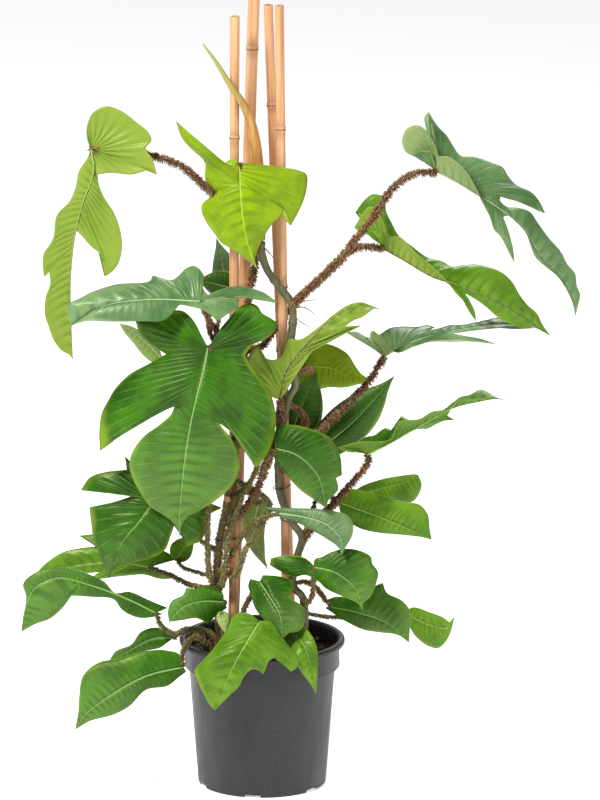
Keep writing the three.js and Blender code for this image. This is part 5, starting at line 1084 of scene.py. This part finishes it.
ledge, rim_z = COLLAR_R + 1, POT_HEIGHT - RIM_ROLL
profile = rounded([
    (0.01, 0), (BODY_BASE_R - 1.5, 0), (BODY_BASE_R, 1.5), (BODY_TOP_R, COLLAR_BASE_Z - 3),
    (ledge, COLLAR_BASE_Z), (COLLAR_R, rim_z), (RIM_OUTER_R, rim_z + 1),
    (RIM_OUTER_R, POT_HEIGHT - 2), (RIM_OUTER_R - 2, POT_HEIGHT), (COLLAR_R, POT_HEIGHT),
    (COLLAR_R - WALL, rim_z + 4), (ledge - WALL, COLLAR_BASE_Z + 2),
    (BODY_TOP_R - WALL, COLLAR_BASE_Z - 1), (BODY_BASE_R - WALL, FLOOR), (0.01, FLOOR)])
pot_build = Build()
turned(pot_build, profile, POT_SIDES)
pot = pot_build.make("nursery_pot", [pot_look()], ["pot"], "pot")
BLOCK_FACES = [[0, 3, 2, 1], [4, 5, 6, 7], [0, 1, 5, 4], [1, 2, 6, 5], [2, 3, 7, 6], [3, 0, 4, 7]]
knife = Build()
inner, outer = BODY_BASE_R - NOTCH_DEPTH / 2, BODY_BASE_R + NOTCH_DEPTH
for i in range(NOTCH_COUNT):
    a = math.radians(-90 + FIRST_NOTCH + i * 360 / NOTCH_COUNT)
    out, side = np.array([math.cos(a), math.sin(a), 0]), np.array([-math.sin(a), math.cos(a), 0])
    corners = []
    for z, half in ((-6, NOTCH_WIDTH / 2), (NOTCH_HEIGHT, NOTCH_WIDTH / 2 - 1.5)):
        for r, s in ((inner, -1), (outer, -1), (outer, 1), (inner, 1)):
            corners.append(out * r + side * s * half + np.array([0, 0, z]))
    knife.add(corners, BLOCK_FACES)
cutter = knife.make("notch_cutter", [], [])
cut = pot.modifiers.new("notches", "BOOLEAN")
cut.object = cutter
cut.solver = "EXACT"
bake(pot)
bpy.data.objects.remove(cutter)
sharp = pot.modifiers.new("edges", "EDGE_SPLIT")
sharp.split_angle = math.radians(POT_SHARP_DEGREES)


# Peat: a lumpy bed, crumbs and fibres on it
def lump(x, y):
    broad = np.sin(x * 0.11 + 1) * np.cos(y * 0.13)
    fine = np.sin(x * 0.29 - y * 0.23)
    return SOIL_TOP + LUMP_HEIGHT * (0.6 * broad + 0.4 * fine)


def edge_drop(r):
    """How far the bed falls towards the pot's wall."""
    return SOIL_EDGE_DROP * np.clip((r - SOIL_EDGE_R) / SOIL_EDGE_WIDTH, 0, 1)


def spot_on_bed(spread):
    """An even random place on the bed: x, y and the distance from the middle."""
    a, r = rng.uniform(0, 2 * np.pi), spread * math.sqrt(rng.random())
    return r * math.cos(a), r * math.sin(a), r


soil = Build()
radii = np.linspace(0.5, SOIL_R, SOIL_RINGS)
around = circle(SOIL_SIDES)
x, y = radii[:, None] * np.cos(around), radii[:, None] * np.sin(around)
grit = [[rng.uniform(-SOIL_GRIT, SOIL_GRIT) for _ in range(SOIL_SIDES)] for _ in range(SOIL_RINGS)]
z = lump(x, y) + np.array(grit) - edge_drop(radii[:, None])
soil.add(np.stack([x, y, z], -1), grid_faces(SOIL_RINGS, SOIL_SIDES, wrap=True))
turned(soil, ((SOIL_R, SOIL_TOP - 4), (94.5, 160), (88, 152), (80, 4), (1, 3)), SOIL_SIDES)
BALL = np.array([[1, 0, 0], [-1, 0, 0], [0, 1, 0], [0, -1, 0], [0, 0, 1], [0, 0, -1]], float)
BALL_FACES = [[0, 2, 4], [2, 1, 4], [1, 3, 4], [3, 0, 4], [2, 0, 5], [1, 2, 5], [3, 1, 5], [0, 3, 5]]
for _ in range(CRUMB_COUNT):
    px, py, r = spot_on_bed(CRUMB_SPREAD)
    size = rng.uniform(*CRUMB_SIZES)
    jitter = np.array([[rng.uniform(0.55, 1.2) for _ in range(3)] for _ in range(6)])
    spot = np.array([px, py, lump(px, py) + rng.uniform(0, 2) - edge_drop(r)])
    soil.add(BALL * jitter * size + spot, BALL_FACES, 0, rng.random(), 0, 0)
for _ in range(FIBRE_COUNT):
    px, py, _ = spot_on_bed(FIBRE_SPREAD)
    turn = rng.uniform(0, 6.28)
    reach = rng.uniform(*FIBRE_LENGTHS)
    d = np.array([math.cos(turn), math.sin(turn), rng.uniform(-0.1, 0.35)])
    start = np.array([px, py, lump(px, py) + rng.uniform(0.8, 2.2)])
    bend = np.array([0, 0, rng.uniform(0.5, 2.5)])
    line = Line([start, start + d * reach / 2 + bend, start + d * reach], 3)
    tube(soil, line, 4, 3, FIBRE_R, 1, np.full(4, rng.random()))
peat = plain_look("peat", "#1d130d", "#46301f", 300, 0.95, 0.6, (1, 1, 1), 0.001)
fibre = plain_look("peat_fibre", "#8a4526", "#b9784a", 200, 0.9)
soil.make("peat_bed", [peat, fibre], ["soil"], "soil")

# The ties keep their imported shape
wire = plain_look("tie_plastic", "#171a26", "#2b3144", 200, 0.4)
for name in ("tie_upper", "tie_middle", "tie_lower", "tie_left"):
    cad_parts[name].data.materials.clear()
    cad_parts[name].data.materials.append(wire)

# Floor, soft studio light and the camera at the photo's angle
FLOOR_SIZE, FLOOR_GREY, FLOOR_GLOW, WORLD_LIGHT = 400, 0.9, 0.58, 0.26
# Each lamp: name, place, the point it looks at, size in metres, watts
LAMPS = (
    ("key", (-1.3, -1.7, 2.9), (0, 0, 0.6), 0.7, 122),
    ("fill", (2.2, -1.6, 1.6), (0, 0, 0.5), 1.2, 24),
    ("back", (0.6, 2.2, 2.2), (0, 0, 0.6), 1.2, 36),
)
bpy.ops.mesh.primitive_plane_add(size=FLOOR_SIZE, location=(0, 0, 0))
floor = bpy.context.object
floor.name = "studio_floor"
ground = Look("studio_white")
ground.p.inputs["Emission Color"].default_value = [1, 1, 1, 1]
ground.p.inputs["Emission Strength"].default_value = FLOOR_GLOW
floor.data.materials.append(ground.finish([*[FLOOR_GREY] * 3, 1], 0.9, 0.0))

world = bpy.data.worlds.new("studio")
bpy.context.scene.world = world
world.use_nodes = True
sky = world.node_tree.nodes["Background"]
sky.inputs["Color"].default_value = [1, 1, 1, 1]
sky.inputs["Strength"].default_value = WORLD_LIGHT


def lamp(name, where, aim, size, watts):
    data = bpy.data.lights.new(name, "AREA")
    data.shape = "DISK"
    data.size = size
    data.energy = watts
    obj = bpy.data.objects.new(name, data)
    obj.location = where
    obj.rotation_euler = (Vector(aim) - Vector(where)).to_track_quat("-Z", "Y").to_euler()
    bpy.context.scene.collection.objects.link(obj)


for row in LAMPS:
    lamp(*row)

PHOTO_SIZE, DISTANCE, SENSOR = (600, 800), 30.0, 24
centre = place([*from_photo([PHOTO_SIZE[0] / 2, PHOTO_SIZE[1] / 2]), 0]) * MM
camera_data = bpy.data.cameras.new("camera")
camera = bpy.data.objects.new("camera", camera_data)
camera_data.sensor_fit = "VERTICAL"
camera_data.sensor_height = SENSOR
camera_data.lens = SENSOR * DISTANCE / (MM_PER_PIXEL * PHOTO_SIZE[1] * MM)
camera.location = Vector(centre) - Vector((0, math.cos(VIEW_RISE), -math.sin(VIEW_RISE))) * DISTANCE
camera.rotation_euler = (math.pi / 2 - VIEW_RISE, 0, 0)
bpy.context.scene.collection.objects.link(camera)
bpy.context.scene.camera = camera
bpy.context.scene.view_settings.view_transform = "Standard"
